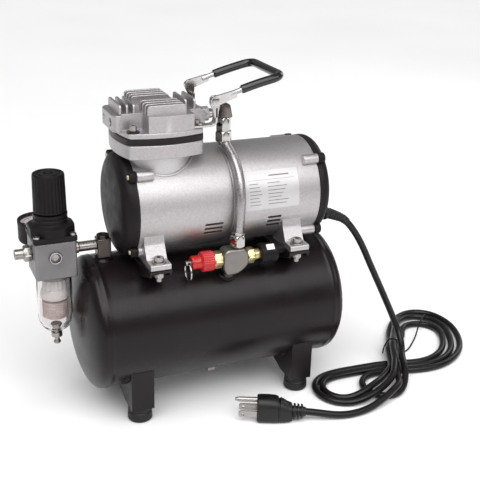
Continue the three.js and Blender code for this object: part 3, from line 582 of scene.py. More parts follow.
PLUG_PLACE, PLUG_TURN = (21, -83, 0), 156


def add_plug():
    """A moulded plug lying on its flat side, with two flat blades and a round pin over them."""
    plug_frame = tilted(PLUG_PLACE, PLUG_TURN, "Z")

    def section(x, half, height, low, sides=48):
        """An upright oval with a flat foot: how boxy it is differs at its flanks, crown and foot."""
        widest = half * 0.75
        points = []
        for k in range(sides):
            angle = 2 * pi * k / sides
            c, s = cos(angle), sin(angle)
            y = half * abs(c) ** (2 / 3.2) * (1 if c >= 0 else -1)
            if s >= 0:
                z = widest + (height - widest) * abs(s) ** (2 / 2.4)
            else:
                z = widest * (1 - abs(s) ** (2 / 4.5))
            points.append(Vector((x, y, low + z)))
        return points

    rings = [[Vector((-33.2, 0, 9))]]
    stations = [(-33.2, 6.6, 15.4, 1.6), (-32.6, 7.6, 16.4, 1), (-30, 8.4, 17.4, 0.4),
        (-28.2, 8.8, 18, 0.2), (-26.8, 9.2, 19, 0.1), (-24, 9.8, 20.6, 0), (-22.2, 10, 21.4, 0),
        (-21.4, 9.6, 20.6, 0.3), (-20.6, 9.6, 20.6, 0.3), (-20, 10.4, 22.4, 0), (-17, 10.9, 23.6, 0),
        (-11, 11, 24, 0), (-4, 11, 24, 0), (-1.4, 10.9, 23.9, 0), (-0.3, 10.4, 23.3, 0.4),
        (0, 9.6, 22.4, 1)]
    for x, half, height, low in stations:
        rings.append(section(x, half, height - low, low))
    rings.append([Vector((0, 0, 11))])
    shapes = [rings_to_shape(rings)]
    for x, size in ((-36.4, 7.3), (-39.8, 7), (-43.2, 6.7)):
        shapes.append(turned("x", (x, 0, 9), [(0, 0), (size, 0), (size + 0.5, 1.9), (0, 1.9)], 0.5, 40))
    core = turned("x", (0, 0, 9), [(0, -46), (4.2, -46), (4.6, -43.8), (5.3, -33), (0, -33)], 0.4, 40)
    plug = piece("plug", moved(merged(*shapes, core), plug_frame), "plug_rubber", "plug_body")

    blade_z, thick = 8.3, 1.5
    for name, y in (("plug_blade_live", -6.35), ("plug_blade_neutral", 6.35)):
        outline = [(-3, -3.15), (15.4, -3.15), (16.8, -1.7), (16.8, 1.7), (15.4, 3.15), (-3, 3.15)]
        flat = prism("y", (0.3, y - thick / 2, blade_z), soften(outline, 0.6), thick)
        hole = rod("y", (13, y - 3, blade_z), 1.5, 6)
        piece(name + "_brass", moved(carve(flat, cuts=[hole]), plug_frame), "steel", name, bevel=0.2)
    pin = turned("x", (0, 0, 20.2), [(0, -2), (2.4, -2), (2.4, 17), (1.4, 20.8), (0, 20.8)], 1.2)
    piece("plug_earth_pin", moved(pin, plug_frame), "steel", "plug_ground_pin")
    return plug


cord, cord_exit, cord_length = add_cord()
add_gland()
plug = add_plug()

tie = smooth_path([on(-2, -9, 4), on(-2, -8, 12), on(-2, -3, 21), on(-2, 4, 20), on(-2, 9.5, 11),
    (215, -24, 3), (221, -22.6, 1.2), (228, -19.5, 1.2), (239, -10, 1.2), (250, 0.5, 2.5), (261, 11.5, 9),
    (270, 20, 11.4), (279, 29, 10), (284, 34, 8.2)], 1.2)
piece("cord_tie", sweep(tie, 0.8, 10), "black_plastic")

# ---- tank, feet and brackets ----

TANK_RADIUS, TANK_AXIS, TANK_HALF, TANK_DOME = 62.5, 85.7, 113.4, 17.3
OUTLET_X, BOSS_LEAN = -100, 39
FOOT_X, FOOT_Y = 80.7, 42.5


def add_tank():
    quarter = [pi / 2 * i / 28 for i in range(29)]
    right = [(TANK_RADIUS * cos(a), TANK_HALF + TANK_DOME * sin(a)) for a in quarter]
    seam = [(TANK_RADIUS, 105), (TANK_RADIUS, 108.2), (TANK_RADIUS + 0.35, 108.9),
        (TANK_RADIUS + 0.35, 110.1), (TANK_RADIUS, 110.8)]
    side = seam + right
    side[-1] = (0, TANK_HALF + TANK_DOME)
    profile = [(r, -x) for r, x in reversed(side)] + side
    shell = lathe("x", (0, 0, TANK_AXIS), profile, 128)
    boss = [(0, 58), (9.4, 58), (9.4, 64.4), (7.6, 65.6), (6.6, 64.6), (0, 64.6)]
    under_manifold = moved(turned("z", (5.5, 0, 0), boss, 0.6), tilted((0, 0, TANK_AXIS), BOSS_LEAN, "X"))
    outlet = turned("z", (OUTLET_X, 0, 144), [(0, 0), (10, 0), (10, 3.6), (8, 5), (8, 5.7), (0, 5.7)], 0.6)
    drain = turned("z", (5, 0, 19.5), [(0, 0), (8, 0), (8, 3), (9.5, 6), (0, 6)], 0.5)
    piece("tank", shell, "black_paint", "tank_shell")
    piece("tank_bosses", merged(under_manifold, outlet, drain), "black_paint")
    keep("tank_drain_plug", "steel", 0.5)


def add_feet():
    profile = [(0, 0), (10.4, 0), (11.6, 1.4), (11.2, 8.6), (10.5, 9.2), (10.5, 10.2), (11.1, 10.8),
        (11, 13.7), (0, 13.7)]
    for end, y in zip(ENDS, (-FOOT_Y, FOOT_Y)):
        for side, x in zip(SIDES, (-FOOT_X, FOOT_X)):
            name = f"{end}_{side}"
            piece("rubber_" + name, turned("z", (x, y, 0), profile, 0.5), "black_rubber", "foot_" + name)
            bolt = merged(nut("z", (x, y, 16), 9, 4.4), rod("z", (x, y, 15.8), 6, 1, 0.2))
            piece("foot_bolt_" + name, bolt, "steel")


add_tank()
add_feet()
for name in ("leg_bracket_left", "leg_bracket_right", "mount_bracket_left", "mount_bracket_right"):
    keep(name, "black_paint", 0.7)

# ---- motor and pump ----

MOTOR_AXIS, BARREL, BORE = 199.2, 46.6, 42.5
EAR = 34.5
PADS = (-65.2, 67.8)
HEAD_X, HEAD_HALF, HEAD_BOW = -49.5, 33.5, 5.5
NECK_RADIUS, NECK_RIM = 33.2, 33.6


def stadium(length, height):
    half = height / 2
    return soften([(0, -half), (length, -half), (length, half), (0, half)], height * 0.44)


def vents(x, length):
    slot = stadium(length, 2.2)
    return [prism("y", (x, side * 42 - 8, z), slot, 16) for side in (-1, 1) for z in (176.8, 181.2, 185.6)]


def ridges(x, length):
    return [rod("x", (x, sy * EAR, MOTOR_AXIS + sz * EAR), 4.7, length, 0.6, 32) for sy, sz in CORNERS]


def arms(x):
    """Curved arms down to the mount pads, with a web on each."""
    inside = lathe("x", (-100, 0, MOTOR_AXIS), [(0, 0), (44, 0), (44, 200), (0, 200)], 96)
    shapes = []
    for side in (-1, 1):
        outline = [(side * 63, 155.8), (side * 63, 161.3), (side * 51, 161.3), (side * 44, 174),
            (side * 42, 186), (side * 36, 186), (side * 22, 162), (side * 25, 155.8)]
        shape = prism("x", (x - 9.25, 0, 0), soften(outline, 1.8), 18.5)
        shapes.append(carve(shape, cuts=[inside]))
    return shapes


def pillow(half, bulge, steps=16):
    """A square with bowed sides and rounded corners."""
    points = []
    for turn in range(4):
        c, s = [(1, 0), (0, 1), (-1, 0), (0, -1)][turn]
        for i in range(steps + 1):
            t = -1 + 2 * i / steps
            u, v = t * (half - 1.6), -(half + bulge * (1 - t * t))
            points.append((u * c - v * s, u * s + v * c))
    return points


def add_motor():
    barrel = turned("x", (0, 0, MOTOR_AXIS), [(BARREL, -78), (BARREL, 8.35), (BORE, 8.35), (BORE, -16),
        (11, -16), (11, -36), (30, -36), (30, -78)], 0.7, 128, True)
    spot = rod("z", (HEAD_X, 0, 232), 31.5, 30, 0.5, 96)
    cylinder = rod("z", (HEAD_X, 0, MOTOR_AXIS), 17.5, 80, 0.2, 64)
    shell = carve(barrel, ridges(-78, 15), [spot, cylinder, *vents(-18, 17.5)])
    piece("pump_crankcase", shell, "silver_casting", "crankcase", angle=32)
    outline = [(17.5, 229.5), (NECK_RADIUS, 229.5), (32.6, 248.5), (17.5, 248.5)]
    neck = lathe("z", (HEAD_X, 0, 0), outline, 96, closed=True)
    rim, steps, past = [], 80, 0.3
    for i in range(steps + 1):
        a = (pi + 2 * past) * i / steps - past
        y = -NECK_RIM * cos(a)
        rim.append(Vector((HEAD_X + NECK_RIM * sin(a), y, MOTOR_AXIS + sqrt(BARREL ** 2 - y * y))))
    piece("pump_neck", merged(neck, sweep(rim, 1.2, 12)), "silver_casting")
    flange = prism("z", (HEAD_X, 0, 248), pillow(HEAD_HALF, HEAD_BOW), 12.6)
    piece("pump_flange", carve(flange, cuts=[cylinder]), "silver_casting", bevel=1.1, segments=3)

    barrel = turned("x", (0, 0, MOTOR_AXIS), [(BARREL, 8.65), (BARREL, 95), (BORE, 95), (BORE, 80),
        (11, 80), (11, 72), (BORE, 72), (BORE, 8.65)], 0.7, 128, True)
    air = [rod("x", (68, 28 * cos(a), MOTOR_AXIS + 28 * sin(a)), 8, 16, 0.2, 32)
        for a in [(i + 0.5) * pi / 3 for i in range(6)]]
    wire_hole = prism("y", (60, -46, 167.5), stadium(7, 6), 16)
    shell = carve(barrel, ridges(80, 15), [*vents(43, 13.5), *air, wire_hole])
    piece("motor_barrel", shell, "silver_casting", "motor_housing", angle=32)

    for side, x in zip(SIDES, PADS):
        for end, shape in zip(ENDS, arms(x)):
            piece(f"arm_{side}_{end}", shape, "silver_casting", bevel=0.8, segments=3)


def add_cap(side, name):
    rim = -78.3 if side < 0 else 95.3
    profile = [(0, 15.1), (25, 14.7), (38, 13), (44.5, 9.7), (46.9, 5.7), (46.9, 0), (44.6, 0), (44.6, 5.2),
        (42.5, 6.9), (36.8, 10.8), (24.5, 12.5), (0, 12.9)]
    rounded = soften(profile[:6], 3.2, False, 6) + soften(profile[6:], 1, False)
    shell = lathe("x", (rim, 0, MOTOR_AXIS), [(r, side * d) for r, d in rounded], 112)
    ears = [rod("x", (rim - 6.5 if side < 0 else rim, sy * EAR, MOTOR_AXIS + sz * EAR), 5.2, 6.5, 1.2, 40)
        for sy, sz in CORNERS]
    cuts = []
    if side > 0:
        ears.append(block((100, 3, 190.3), (110.7, 27, 221.7)))
        cuts = [block((98, 5.7, 193), (113, 24.3, 219)), rod("x", (95.3, -25, 175), 5.3, 20, 0.1)]
    piece("dished_" + name, carve(shell, ears, cuts), "black_plastic", name, angle=34)
    for i, (sy, sz) in enumerate(CORNERS):
        x = rim - 7.6 if side < 0 else rim + 5.6
        seat = (x, sy * EAR, MOTOR_AXIS + sz * EAR)
        driver = [rod("x", (x - 1 if side < 0 else x + 1.2, seat[1], seat[2]), 1.1, 1.8, 0.1, 6)]
        head = carve(rod("x", seat, 2.3, 2, 0.7, 40), cuts=driver)
        piece(f"{name}_screw_{i}", head, "pale_brass")


def add_inside():
    for name, look in (("stator", "copper"), ("rotor", "steel"), ("bearing_left", "steel"),
            ("bearing_right", "steel"), ("fan_left", "black_plastic"), ("fan_right", "black_plastic"),
            ("eccentric", "steel"), ("piston_rod", "grey_casting")):
        keep(name, look, 0.3)
    for name in ("power_switch", "power_rocker"):
        keep(name, "black_plastic", 0.5)


def patch(x0, x1, z0, z1, lift, thick):
    """A thin sheet bent round the front of the motor barrel."""
    angles = [asin((z - MOTOR_AXIS) / (BARREL + lift)) for z in (z0, z1)]
    steps = max(2, int(abs(angles[1] - angles[0]) / 0.04))
    outer, inner = [], []
    for i in range(steps + 1):
        a = angles[0] + (angles[1] - angles[0]) * i / steps
        for ring, r in ((outer, BARREL + lift + thick), (inner, BARREL + lift)):
            ring.append((-r * cos(a), MOTOR_AXIS + r * sin(a)))
    return prism("x", (x0, 0, 0), outer + inner[::-1], x1 - x0)


def add_sticker():
    """A plain rating sticker: a heading bar and rows of lines, with no lettering."""
    piece("rating_sticker", patch(20, 73, 194.7, 228.3, 0.05, 0.15), "sticker", angle=30)
    lines = [patch(24, 69, 220.9, 221.1, 0.2, 0.04), patch(44, 64, 223.6, 224.6, 0.2, 0.04)]
    for row in range(7):
        z = 217.8 - row * 3.1
        lines.append(patch(24, 33 + (row * 5) % 4, z, z + 0.6, 0.2, 0.04))
        lines.append(patch(42, 54 + (row * 7) % 9, z, z + 0.6, 0.2, 0.04))
    piece("rating_lines", merged(*lines), "sticker_ink", angle=30)


add_motor()
add_cap(-1, "end_cap_left")
add_cap(1, "end_cap_right")
add_inside()
add_sticker()


def socket_screw(x, y, z, radius, height, across):
    corner = across / 2 / cos(pi / 6)
    hexagon = [(corner * cos(i * pi / 3), corner * sin(i * pi / 3)) for i in range(6)]
    recess = prism("z", (x, y, z + height * 0.45), hexagon, height)
    return carve(rod("z", (x, y, z), radius, height, 0.5), cuts=[recess])


def add_mount_bolts():
    for side, x in zip(SIDES, PADS):
        for end, y in zip(ENDS, (-56, 56)):
            name = f"{side}_{end}"
            piece("mount_washer_" + name, ring_shape("z", (x, y, 161.4), 2, 6.3, 1.1), "steel")
            piece("mount_bolt_" + name, socket_screw(x, y, 162.5, 4.4, 3.8, 3.6), "steel")
            under = merged(nut("z", (x, y, 147.6), 9, 5), rod("z", (x, y, 143.5), 2.6, 6))
            piece("mount_nut_" + name, under, "steel")


def fin(along, x, y, length, top):
    low, thick = 282.5, 2.3
    half = length / 2
    outline = soften([(-half, low), (half, low), (half, top), (-half, top)], 3.4, True, 5)
    outline = [(u, max(v, low)) for u, v in outline]
    if along == "x":
        return prism("y", (x, y - thick / 2, 0), outline, thick)
    return prism("x", (x - thick / 2, y, 0), outline, thick)


def add_head():
    plate = prism("z", (HEAD_X, 0, 260.9), pillow(HEAD_HALF, HEAD_BOW), 5.1)
    ports = [rod("z", (HEAD_X + o, 0, 258), 3, 12, 0.1) for o in (-8, 8)]
    piece("valve_plate_black", carve(plate, cuts=ports), "black_paint", "valve_plate", bevel=0.6)
    base = prism("z", (HEAD_X, 0, 266.3), pillow(HEAD_HALF - 0.2, HEAD_BOW), 4.7)
    piece("head_base", base, "silver_casting", "cylinder_head", bevel=0.9, segments=3)
    pockets = []
    for sx, sy in CORNERS:
        inner = -17 if sx < 0 else 24.5
        (x0, x1), (y0, y1) = sorted((HEAD_X + inner, HEAD_X + sx * 50)), sorted((sy * 19, sy * 50))
        pocket = soften([(x0, y0), (x1, y0), (x1, y1), (x0, y1)], 3)
        pockets.append(prism("z", (0, 0, 270.9), pocket, 40))
    deck = carve(prism("z", (HEAD_X, 0, 270), pillow(32.6, 5.3), 15), cuts=pockets)
    piece("head_deck", deck, "silver_casting", bevel=1.2, segments=3)
    rows, top = [9.1, 16.4, 23.7, 31], 293.5
    fins = [fin("x", HEAD_X + 0.8, -y, 35, top) for y in rows]
    fins += [fin("x", HEAD_X - 1.5, y, 35, top) for y in rows]
    fins += [fin("y", HEAD_X + x, 0, 35, top - 1) for x in (-36, -30, -24)]
    fins += [fin("y", HEAD_X + x, 0, 33, top) for x in (23, 31)]
    piece("head_fins", merged(*fins), "silver_casting", bevel=0.75, segments=3)
    intake = [(-42.5, -13), (-40, -18.5), (-30, -18.5), (-30, 24), (-39, 24), (-42.5, 19)]
    boss = prism("z", (HEAD_X, 0, 268.5), soften(intake, 1.6), 15)
    face = HEAD_X - 43.5
    ports = [rod("x", (face, -7, 276), 3.4, 9, 0.1), rod("x", (face, 14, 276.2), 2.3, 6, 0.1)]
    piece("intake_boss", carve(boss, cuts=ports), "silver_casting", bevel=0.9, segments=3)
    outlet = merged(block((HEAD_X + 33, -18.5, 270), (HEAD_X + 40.5, -3.5, 284)),
        rod("x", (HEAD_X + 39, -11, 278), 6.5, 6))
    piece("outlet_boss", outlet, "silver_casting", bevel=1, segments=3)
    for i, (sx, sy) in enumerate(CORNERS):
        x, y = (HEAD_X + 29.5, sy * 26) if sx > 0 else (HEAD_X - 28.5, sy * 28.5)
        piece(f"head_washer_{i}", ring_shape("z", (x, y, 271.1), 2, 5.6, 1.2), "dark_steel")
        piece(f"head_bolt_{i}", socket_screw(x, y, 272.3, 3.3, 4.6, 2.8), "steel")


add_mount_bolts()
add_head()

# ---- delivery line ----

HOSE_RADIUS, STRANDS, STRAND_RADIUS, STRAND_TURNS = 3.4, 12, 0.1, 5


def add_delivery():
    nipple = [(0, -4.2), (4.3, -4.2), (4.3, -1), (3.6, -0.4), (3.6, 1), (4.3, 1.6), (4.3, 5), (0, 5)]
    piece("head_outlet_nipple", turned("x", (0, -11, 278), nipple, 0.3), "chrome", "outlet_nipple")
    body = prism("y", (0, -18, 0), soften([(5, 274), (17.5, 274), (14.8, 286.4), (6.4, 286.4)], 1.8), 13)
    piece("head_outlet_elbow", body, "dark_nickel", "outlet_elbow", bevel=1.2, segments=3)
    route = smooth_path([(11, -12, 262), (11, -12, 258), (11.4, -13, 251.5), (12.8, -22, 246),
        (13.8, -33.5, 238.6), (13.8, -44, 226), (12.8, -50.8, 209), (11.8, -51.9, 190), (11, -51, 170),
        (11, -51, 166)], 1.0, 40)
    piece("delivery_braid_core", sweep(route, HOSE_RADIUS, 48), "braided_hose", "delivery_hose")
    strands = []
    for k in range(STRANDS):
        for hand in (-1, 1):
            strand = helix_round(route, HOSE_RADIUS + 0.03 * hand, STRAND_TURNS, 2 * pi * k / STRANDS, hand)
            strands.append(sweep(strand, STRAND_RADIUS, 6))
    piece("delivery_braid", merged(*strands), "braided_hose", angle=60)
    piece("delivery_sleeve", sweep(route[8:-8], 4.6, 48), "hose_plastic")
    upper = merged(nut("z", (11, -12, 251.5), 13.6, 10, 1.2), nut("z", (11, -11.5, 261.3), 12, 12.5, 1.1),
        rod("z", (11, -12, 248.6), 5, 3.4))
    piece("delivery_nut_upper", upper, "chrome")
    lower = merged(nut("z", (11, -51, 164.6), 13, 11, 1.2), rod("z", (11, -51, 175), 5, 3.4))
    piece("delivery_nut_lower", lower, "chrome")


def add_manifold():
    casting = [(-4, 145), (-4, 160), (0, 163.2), (16, 163.2), (20, 159), (20, 147), (14, 141), (8, 138.5),
        (-1, 138.5)]
    piece("manifold_casting", prism("y", (0, -57, 0), soften(casting, 2.6), 16), "manifold",
        "manifold_block", bevel=2.6)
    piece("manifold_neck", rod("z", (5, -43.5, 133), 5.6, 7.5, 0.6), "dark_nickel")
    y, z = -49, 153
    piece("adapter_hex", merged(nut("x", (20.3, y, z), 13, 7), rod("x", (27, y, z), 5, 5.8)), "brass",
        "switch_adapter")
    shell = turned("x", (33, y, z), [(0, 0), (8.6, 0), (9.5, 1), (9.5, 6), (8.9, 6.6), (8.9, 9), (9.5, 9.6),
        (9.5, 15.6), (8.6, 16.6), (0, 16.6)], 0.5)
    nose = rod("x", (49, y, z + 2), 4.4, 8.3, 0.8)
    piece("pressure_switch_body", merged(shell, nose), "black_plastic", "pressure_switch")
    label = [(-0.2, -1.2), (7.6, -1.2), (7.6, 4.2), (-0.2, 4.2)]
    tag = moved(prism("z", (0, 0, 0), soften(label, 0.4), 0.2), tilted((38, y - 6.9, z + 6.7), 45, "X"))
    piece("pressure_switch_tag", tag, "white_plastic")
    hexed = nut("x", (-12.5, y, z), 14, 8.2)
    piece("relief_valve_hex", carve(hexed, cuts=[rod("x", (-14, y, z), 2.8, 7, 0.1)]), "brass",
        "relief_valve_body")

    def knurl(radius, along, angle):
        return radius - (0.35 * (0.5 + 0.5 * cos(30 * angle)) if 9.6 < along < 20 and radius > 8.6 else 0)

    cap = [(5.6, 0), (6.3, 1), (6.3, 8), (9.2, 10), (9.2, 20.5), (5.7, 20.5), (5.7, 9.3), (2.7, 9.3),
        (2.7, 0)]
    red = turned("x", (-33.3, y, z), cap, 0.6, 240, True, knurl)
    piece("relief_cap_red", red, "red_plastic", "relief_valve_cap", angle=50)
    keep("relief_stem", "steel", 0.25)
    loops, steps, radius, pitch = [], 96, 8.2, 0.95
    for i in range(steps + 1):
        a = 4 * pi * i / steps
        x = -35.5 + pitch * (i / steps - 0.5)
        loops.append(Vector((x, y + radius * sin(a), z - radius + radius * cos(a))))
    piece("split_ring", sweep(loops, 0.5, 12), "chrome", "relief_ring", "pull_ring")


def add_wires():
    for i, (dy, dz) in enumerate(((0, 0), (1.6, 1.2))):
        path = smooth_path([(56, -49 + dy, 155 + dz), (60.5, -49.5 + dy, 154.6 + dz),
            (65, -50 + dy, 153 + dz), (69.5, -49 + dy, 152 + dz), (72, -46, 154 + dz),
            (71.5, -44 + dy, 159 + dz), (68.5, -42.6 + dy, 164), (65 + i * 1.2, -41, 167),
            (63.6, -37, 167.6)], 1.2, 3)
        piece(f"switch_wire_{i}", sweep(path, 1.3, 14), "cord_rubber")
    loom = smooth_path([(66, -40, 167), (70, -42, 163), (71.5, -42.8, 157.5), (70, -42, 152.5)], 1, 2)
    piece("wire_loom", sweep(loom, 1.8, 16), "cord_rubber")
    grommet = carve(rod("y", (63.5, -42.6, 167.5), 4.6, 3.6, 0.8),
        cuts=[rod("y", (63.5, -44, 167.5), 2.4, 6, 0.1)])
    piece("wire_grommet", grommet, "black_rubber")
    piece("switch_connector", rod("x", (57.2, -49, 155), 3.4, 3.6, 1), "black_rubber")


add_delivery()
add_manifold()
add_wires()

# ---- carrying handle ----

HINGE_X, HINGE_Z, HANDLE_TILT = -6, 294.3, -16


def add_handle_brackets():
    outer = soften([(-24.6, 271.3), (-3, 271.3), (-3, 288)], 6.2, False, 6)
    inner = soften([(-5, 288), (-5, 273.3), (-24.6, 273.3)], 4.2, False, 6)
    ear = soften([(-6, 279), (-3, 279), (-1, 291), (-1.6, 296.8), (-4, 299), (-8, 299), (-10.4, 296.8),
        (-10.6, 292), (-8, 287)], 2)
    dome = [(0, 0), (3.3, 0), (3.1, 0.7), (1.8, 1.1), (0, 1.1)]
    rows = (("front", -1, -32.8, -32.8, -36.4), ("rear", 1, 24.5, 30.8, 31))
    for name, side, low, tab_low, pin_low in rows:
        strap, tab = prism("y", (0, low, 0), outer + inner, 8.3), prism("y", (0, tab_low, 0), ear, 2)
        pin = rod("y", (HINGE_X, pin_low, HINGE_Z), 2, 5.4)
        head = lathe("y", (HINGE_X, side * 35.9, HINGE_Z), [(r, side * d) for r, d in dome])
        piece("bracket_" + name, merged(strap, tab), "chrome", "handle_bracket_" + name, bevel=0.3)
        piece("bracket_rivet_" + name, merged(pin, head), "chrome")
        piece("bracket_screw_" + name, rod("z", (-18, side * 28.6, 273.3), 3.4, 1.6, 0.7), "steel")


def add_handle():
    tilt = tilted((HINGE_X, 0, HINGE_Z), HANDLE_TILT, "Y")
    reach, corner, wire, sleeve, start, side = 65.2, 8, 2.2, 3.8, 25.5, 33.5

    def bow(x):
        return 1.4 * sin(x / reach * pi)

    leg = [(x, side, bow(x)) for x in (14, 20, start, 34, 44)]
    for angle in (0, 22.5, 45, 67.5, 90):
        a = radians(angle)
        x = reach - corner + corner * sin(a)
        leg.append((x, side - corner + corner * cos(a), bow(x)))
    leg.append((reach, 12, 0))
    route = smooth_path(leg + [(x, -y, z) for x, y, z in reversed(leg)], 1.2)
    eye = [(-3.6, -2.8), (0, -4.4), (20, -3.2), (20, 3.2), (0, 4.4), (-3.6, 2.8), (-4.6, 0)]
    tabs = []
    for low, hole_low in ((-35.5, -38), (33.1, 31)):
        hole = rod("y", (0, hole_low, 0), 2.3, 7, 0.1)
        tabs.append(carve(prism("y", (0, low, 0), soften(eye, 1.6), 2.4), cuts=[hole]))
    bail = merged(sweep(route, wire, 24), *tabs)
    piece("bail", moved(bail, tilt), "chrome", "handle_bail", "handle", angle=45)
    covered = [p for p in route if p.x >= start]
    radii = [sleeve] * len(covered)
    radii[0] = radii[-1] = sleeve * 0.86
    piece("bail_grip", moved(sweep(covered, 0, 32, radii), tilt), "grip_rubber", "handle_grip", "handle",
        angle=50)


add_handle_brackets()
add_handle()

# ---- filter regulator ----

REG_X, REG_HALF, PORT_Z = -146, 18.5, 162
REG = (REG_X, 0, 0)


def add_regulator():
    port_x = REG_X - 1
    body = carve(prism("z", (0, 0, 141.5), soften(square(REG_X, 0, REG_HALF), 3), 34),
        cuts=[rod("z", (REG_X, 0, 166.5), 10, 12, 0.1), rod("z", (REG_X, 0, 138), 11.5, 14.5, 0.1),
        rod("y", (port_x, -20, PORT_Z), 5.2, 3.4, 0.1)])
    piece("regulator_block", body, "grey_casting", "regulator_body", bevel=1.2, segments=3)
    groove = block((port_x - 5, -20.6, PORT_Z - 0.7), (port_x + 5, -17.4, PORT_Z + 0.7))
    piece("regulator_plug_rim", ring_shape("y", (port_x, -20.3, PORT_Z), 4.5, 5.4, 1), "chrome")
    piece("regulator_plug", carve(rod("y", (port_x, -17.9, PORT_Z), 3.5, 2.2, 0.7), cuts=[groove]), "steel")
    lower = turned("z", REG, [(11.6, 138.3), (16.9, 138.3), (16.9, 141.4), (11.6, 141.4)], 0.6, 80, True)
    piece("bowl_collar", lower, "grey_casting")

    bore = rod("z", (REG_X, 0, 172), 10, 24.5, 0.1)
    plate = carve(prism("z", (0, 0, 175.8), soften(square(REG_X, 0, REG_HALF + 0.75), 2), 4.7), cuts=[bore])
    piece("bonnet_plate", plate, "black_plastic", "regulator_bonnet", bevel=0.8, segments=3)

    def octagon(radius, along, angle):
        return min(radius, 19.4 / cos((angle + pi / 8) % (pi / 4) - pi / 8)) if radius > 12 else radius

    skirt = [(10, 180.4), (22, 180.4), (20.6, 187.6), (15.6, 189.6), (15.4, 190.6), (10, 190.6)]
    piece("bonnet_skirt", turned("z", REG, skirt, 0.7, 160, True, octagon), "black_plastic", angle=34)
    collar = [(8, 190.4), (15, 190.4), (15, 193.4), (14.2, 194), (14.2, 195), (15, 195.6), (15, 198.2),
        (8.6, 198.6), (8.5, 210.4), (3.4, 210.4), (3.4, 197), (8, 196)]
    piece("bonnet_collar", turned("z", REG, collar, 0.35, 112, True), "black_plastic", angle=34)
    for i, (u, v) in enumerate(CORNERS):
        x, y = REG_X + u * 15.8, v * 15.8
        cross = [block((x - a, y - b, 181.8), (x + a, y + b, 184)) for a, b in ((2, 0.4), (0.4, 2))]
        piece(f"bonnet_screw_{i}", carve(rod("z", (x, y, 180.5), 3, 2.2, 0.8), cuts=cross), "steel")
    keep("adjusting_screw", "steel", 0.3)

    def flutes(radius, along, angle):
        if radius < 13 or not 201.5 < along < 231.5:
            return radius
        return radius - 0.6 * max(0, cos(24 * angle)) ** 2

    low, high = 199.8, 234
    knob = [(11.5, low), (14.6, low), (14.6, low + 1.6), (14.5, low + 2.2), (14, high - 2.8),
        (13.9, high - 2), (13.6, high - 0.4), (12.6, high), (11, high), (10.6, high - 1), (8.6, high - 1),
        (8.2, high - 0.2), (4.2, high - 0.2), (3.8, high - 1.4), (0, high - 1.4)]
    inside = [(0, high - 4.6), (11.5, high - 4.6), (11.5, low)]
    profile = soften(knob, 0.45, False) + soften(inside, 0.3, False)
    piece("knob_cap", lathe("z", REG, profile, 336, radius_at=flutes), "black_plastic", "regulator_knob",
        "knob", angle=40)


def add_bowl():
    radius, low, high = 15.8, 84, 141.2
    wall = [(3.5, 0), (7, 0.6), (12, 4), (15, 10), (radius, 16), (radius, high - low),
        (radius - 1.6, high - low), (radius - 1.6, 16.5), (13.4, 11), (11, 6.4), (6.4, 3), (3.5, 2.6)]
    piece("bowl_clear", turned("z", (REG_X, 0, low), wall, 1.6, 96, True), "clear_plastic", "filter_bowl")

    def vanes(r, along, angle):
        return r - (0.9 * (0.5 + 0.5 * cos(14 * angle)) if r > 10 and along > 126 else 0)

    baffle = [(0, 97), (9, 97), (9, 98.6), (8, 99), (8, 115), (9.5, 116), (12.6, 117.4), (12.8, 122),
        (10.8, 126.5), (10.8, 141), (0, 141)]
    piece("filter_baffle", turned("z", REG, baffle, 0.6, 168, radius_at=vanes), "white_plastic",
        "filter_element", angle=40)
    sleeve = [(8.2, 99.2), (11.6, 99.2)]
    for z in range(100, 114, 2):
        sleeve += [(11.6, z + 0.2), (11.2, z + 0.6), (11.2, z + 0.9), (11.6, z + 1.3)]
    sleeve += [(11.6, 114.6), (8.2, 114.6)]
    piece("filter_sleeve", lathe("z", REG, sleeve, 96, closed=True), "filter_mesh")
    drain = [(0, 0), (2.6, 0), (3.5, 1.5), (2.2, 4), (2.2, 6.5), (5, 7.4), (5, 12), (3.2, 12), (3.2, 18),
        (5.2, 18), (5.2, 20), (0, 20)]
    piece("drain_pin", turned("z", (REG_X, 0, 69.6), drain, 0.5), "steel", "bowl_drain", "drain_valve")


def add_gauge():
    x, y, radius, low, dial, top = -147.5, 47, 20, 155, 170.5, 175.5
    cup = [(0, low), (radius - 1.2, low), (radius - 0.2, low + 2), (radius - 0.2, top - 4),
        (radius, top - 3.6), (radius, top), (radius - 2, top), (radius - 2, dial), (0, dial)]
    stem = merged(rod("y", (x, 18.8, PORT_Z), 4.8, 12), nut("y", (x, 20.3, PORT_Z), 11, 4.4, 0.9))
    piece("gauge_cup", turned("z", (x, y, 0), cup, 0.5, 112), "black_plastic", "gauge_case")
    piece("gauge_stem", stem, "brass")
    piece("gauge_dial", rod("z", (x, y, dial + 0.05), radius - 2.2, 0.3, 0.1, 96), "white_plastic")
    marks, count, first, span = [], 40, 225, 270
    for i in range(count + 1):
        inner, thick = (12.6, 0.28) if i % 5 == 0 else (14.4, 0.14)
        mark = block((inner, -thick, 0), (16.2, thick, 0.12))
        marks.append(moved(mark, tilted((x, y, dial + 0.34), first - span * i / count, "Z")))
    piece("gauge_marks", merged(*marks), "black_plastic")
    keep("gauge_needle", "black_plastic", 0.1)
    lens = [(0, top - 1.9), (17.9, top - 1.9), (17.9, top - 1), (0, top - 0.5)]
    piece("gauge_lens", turned("z", (x, y, 0), lens, 0.3, 96), "clear_plastic")


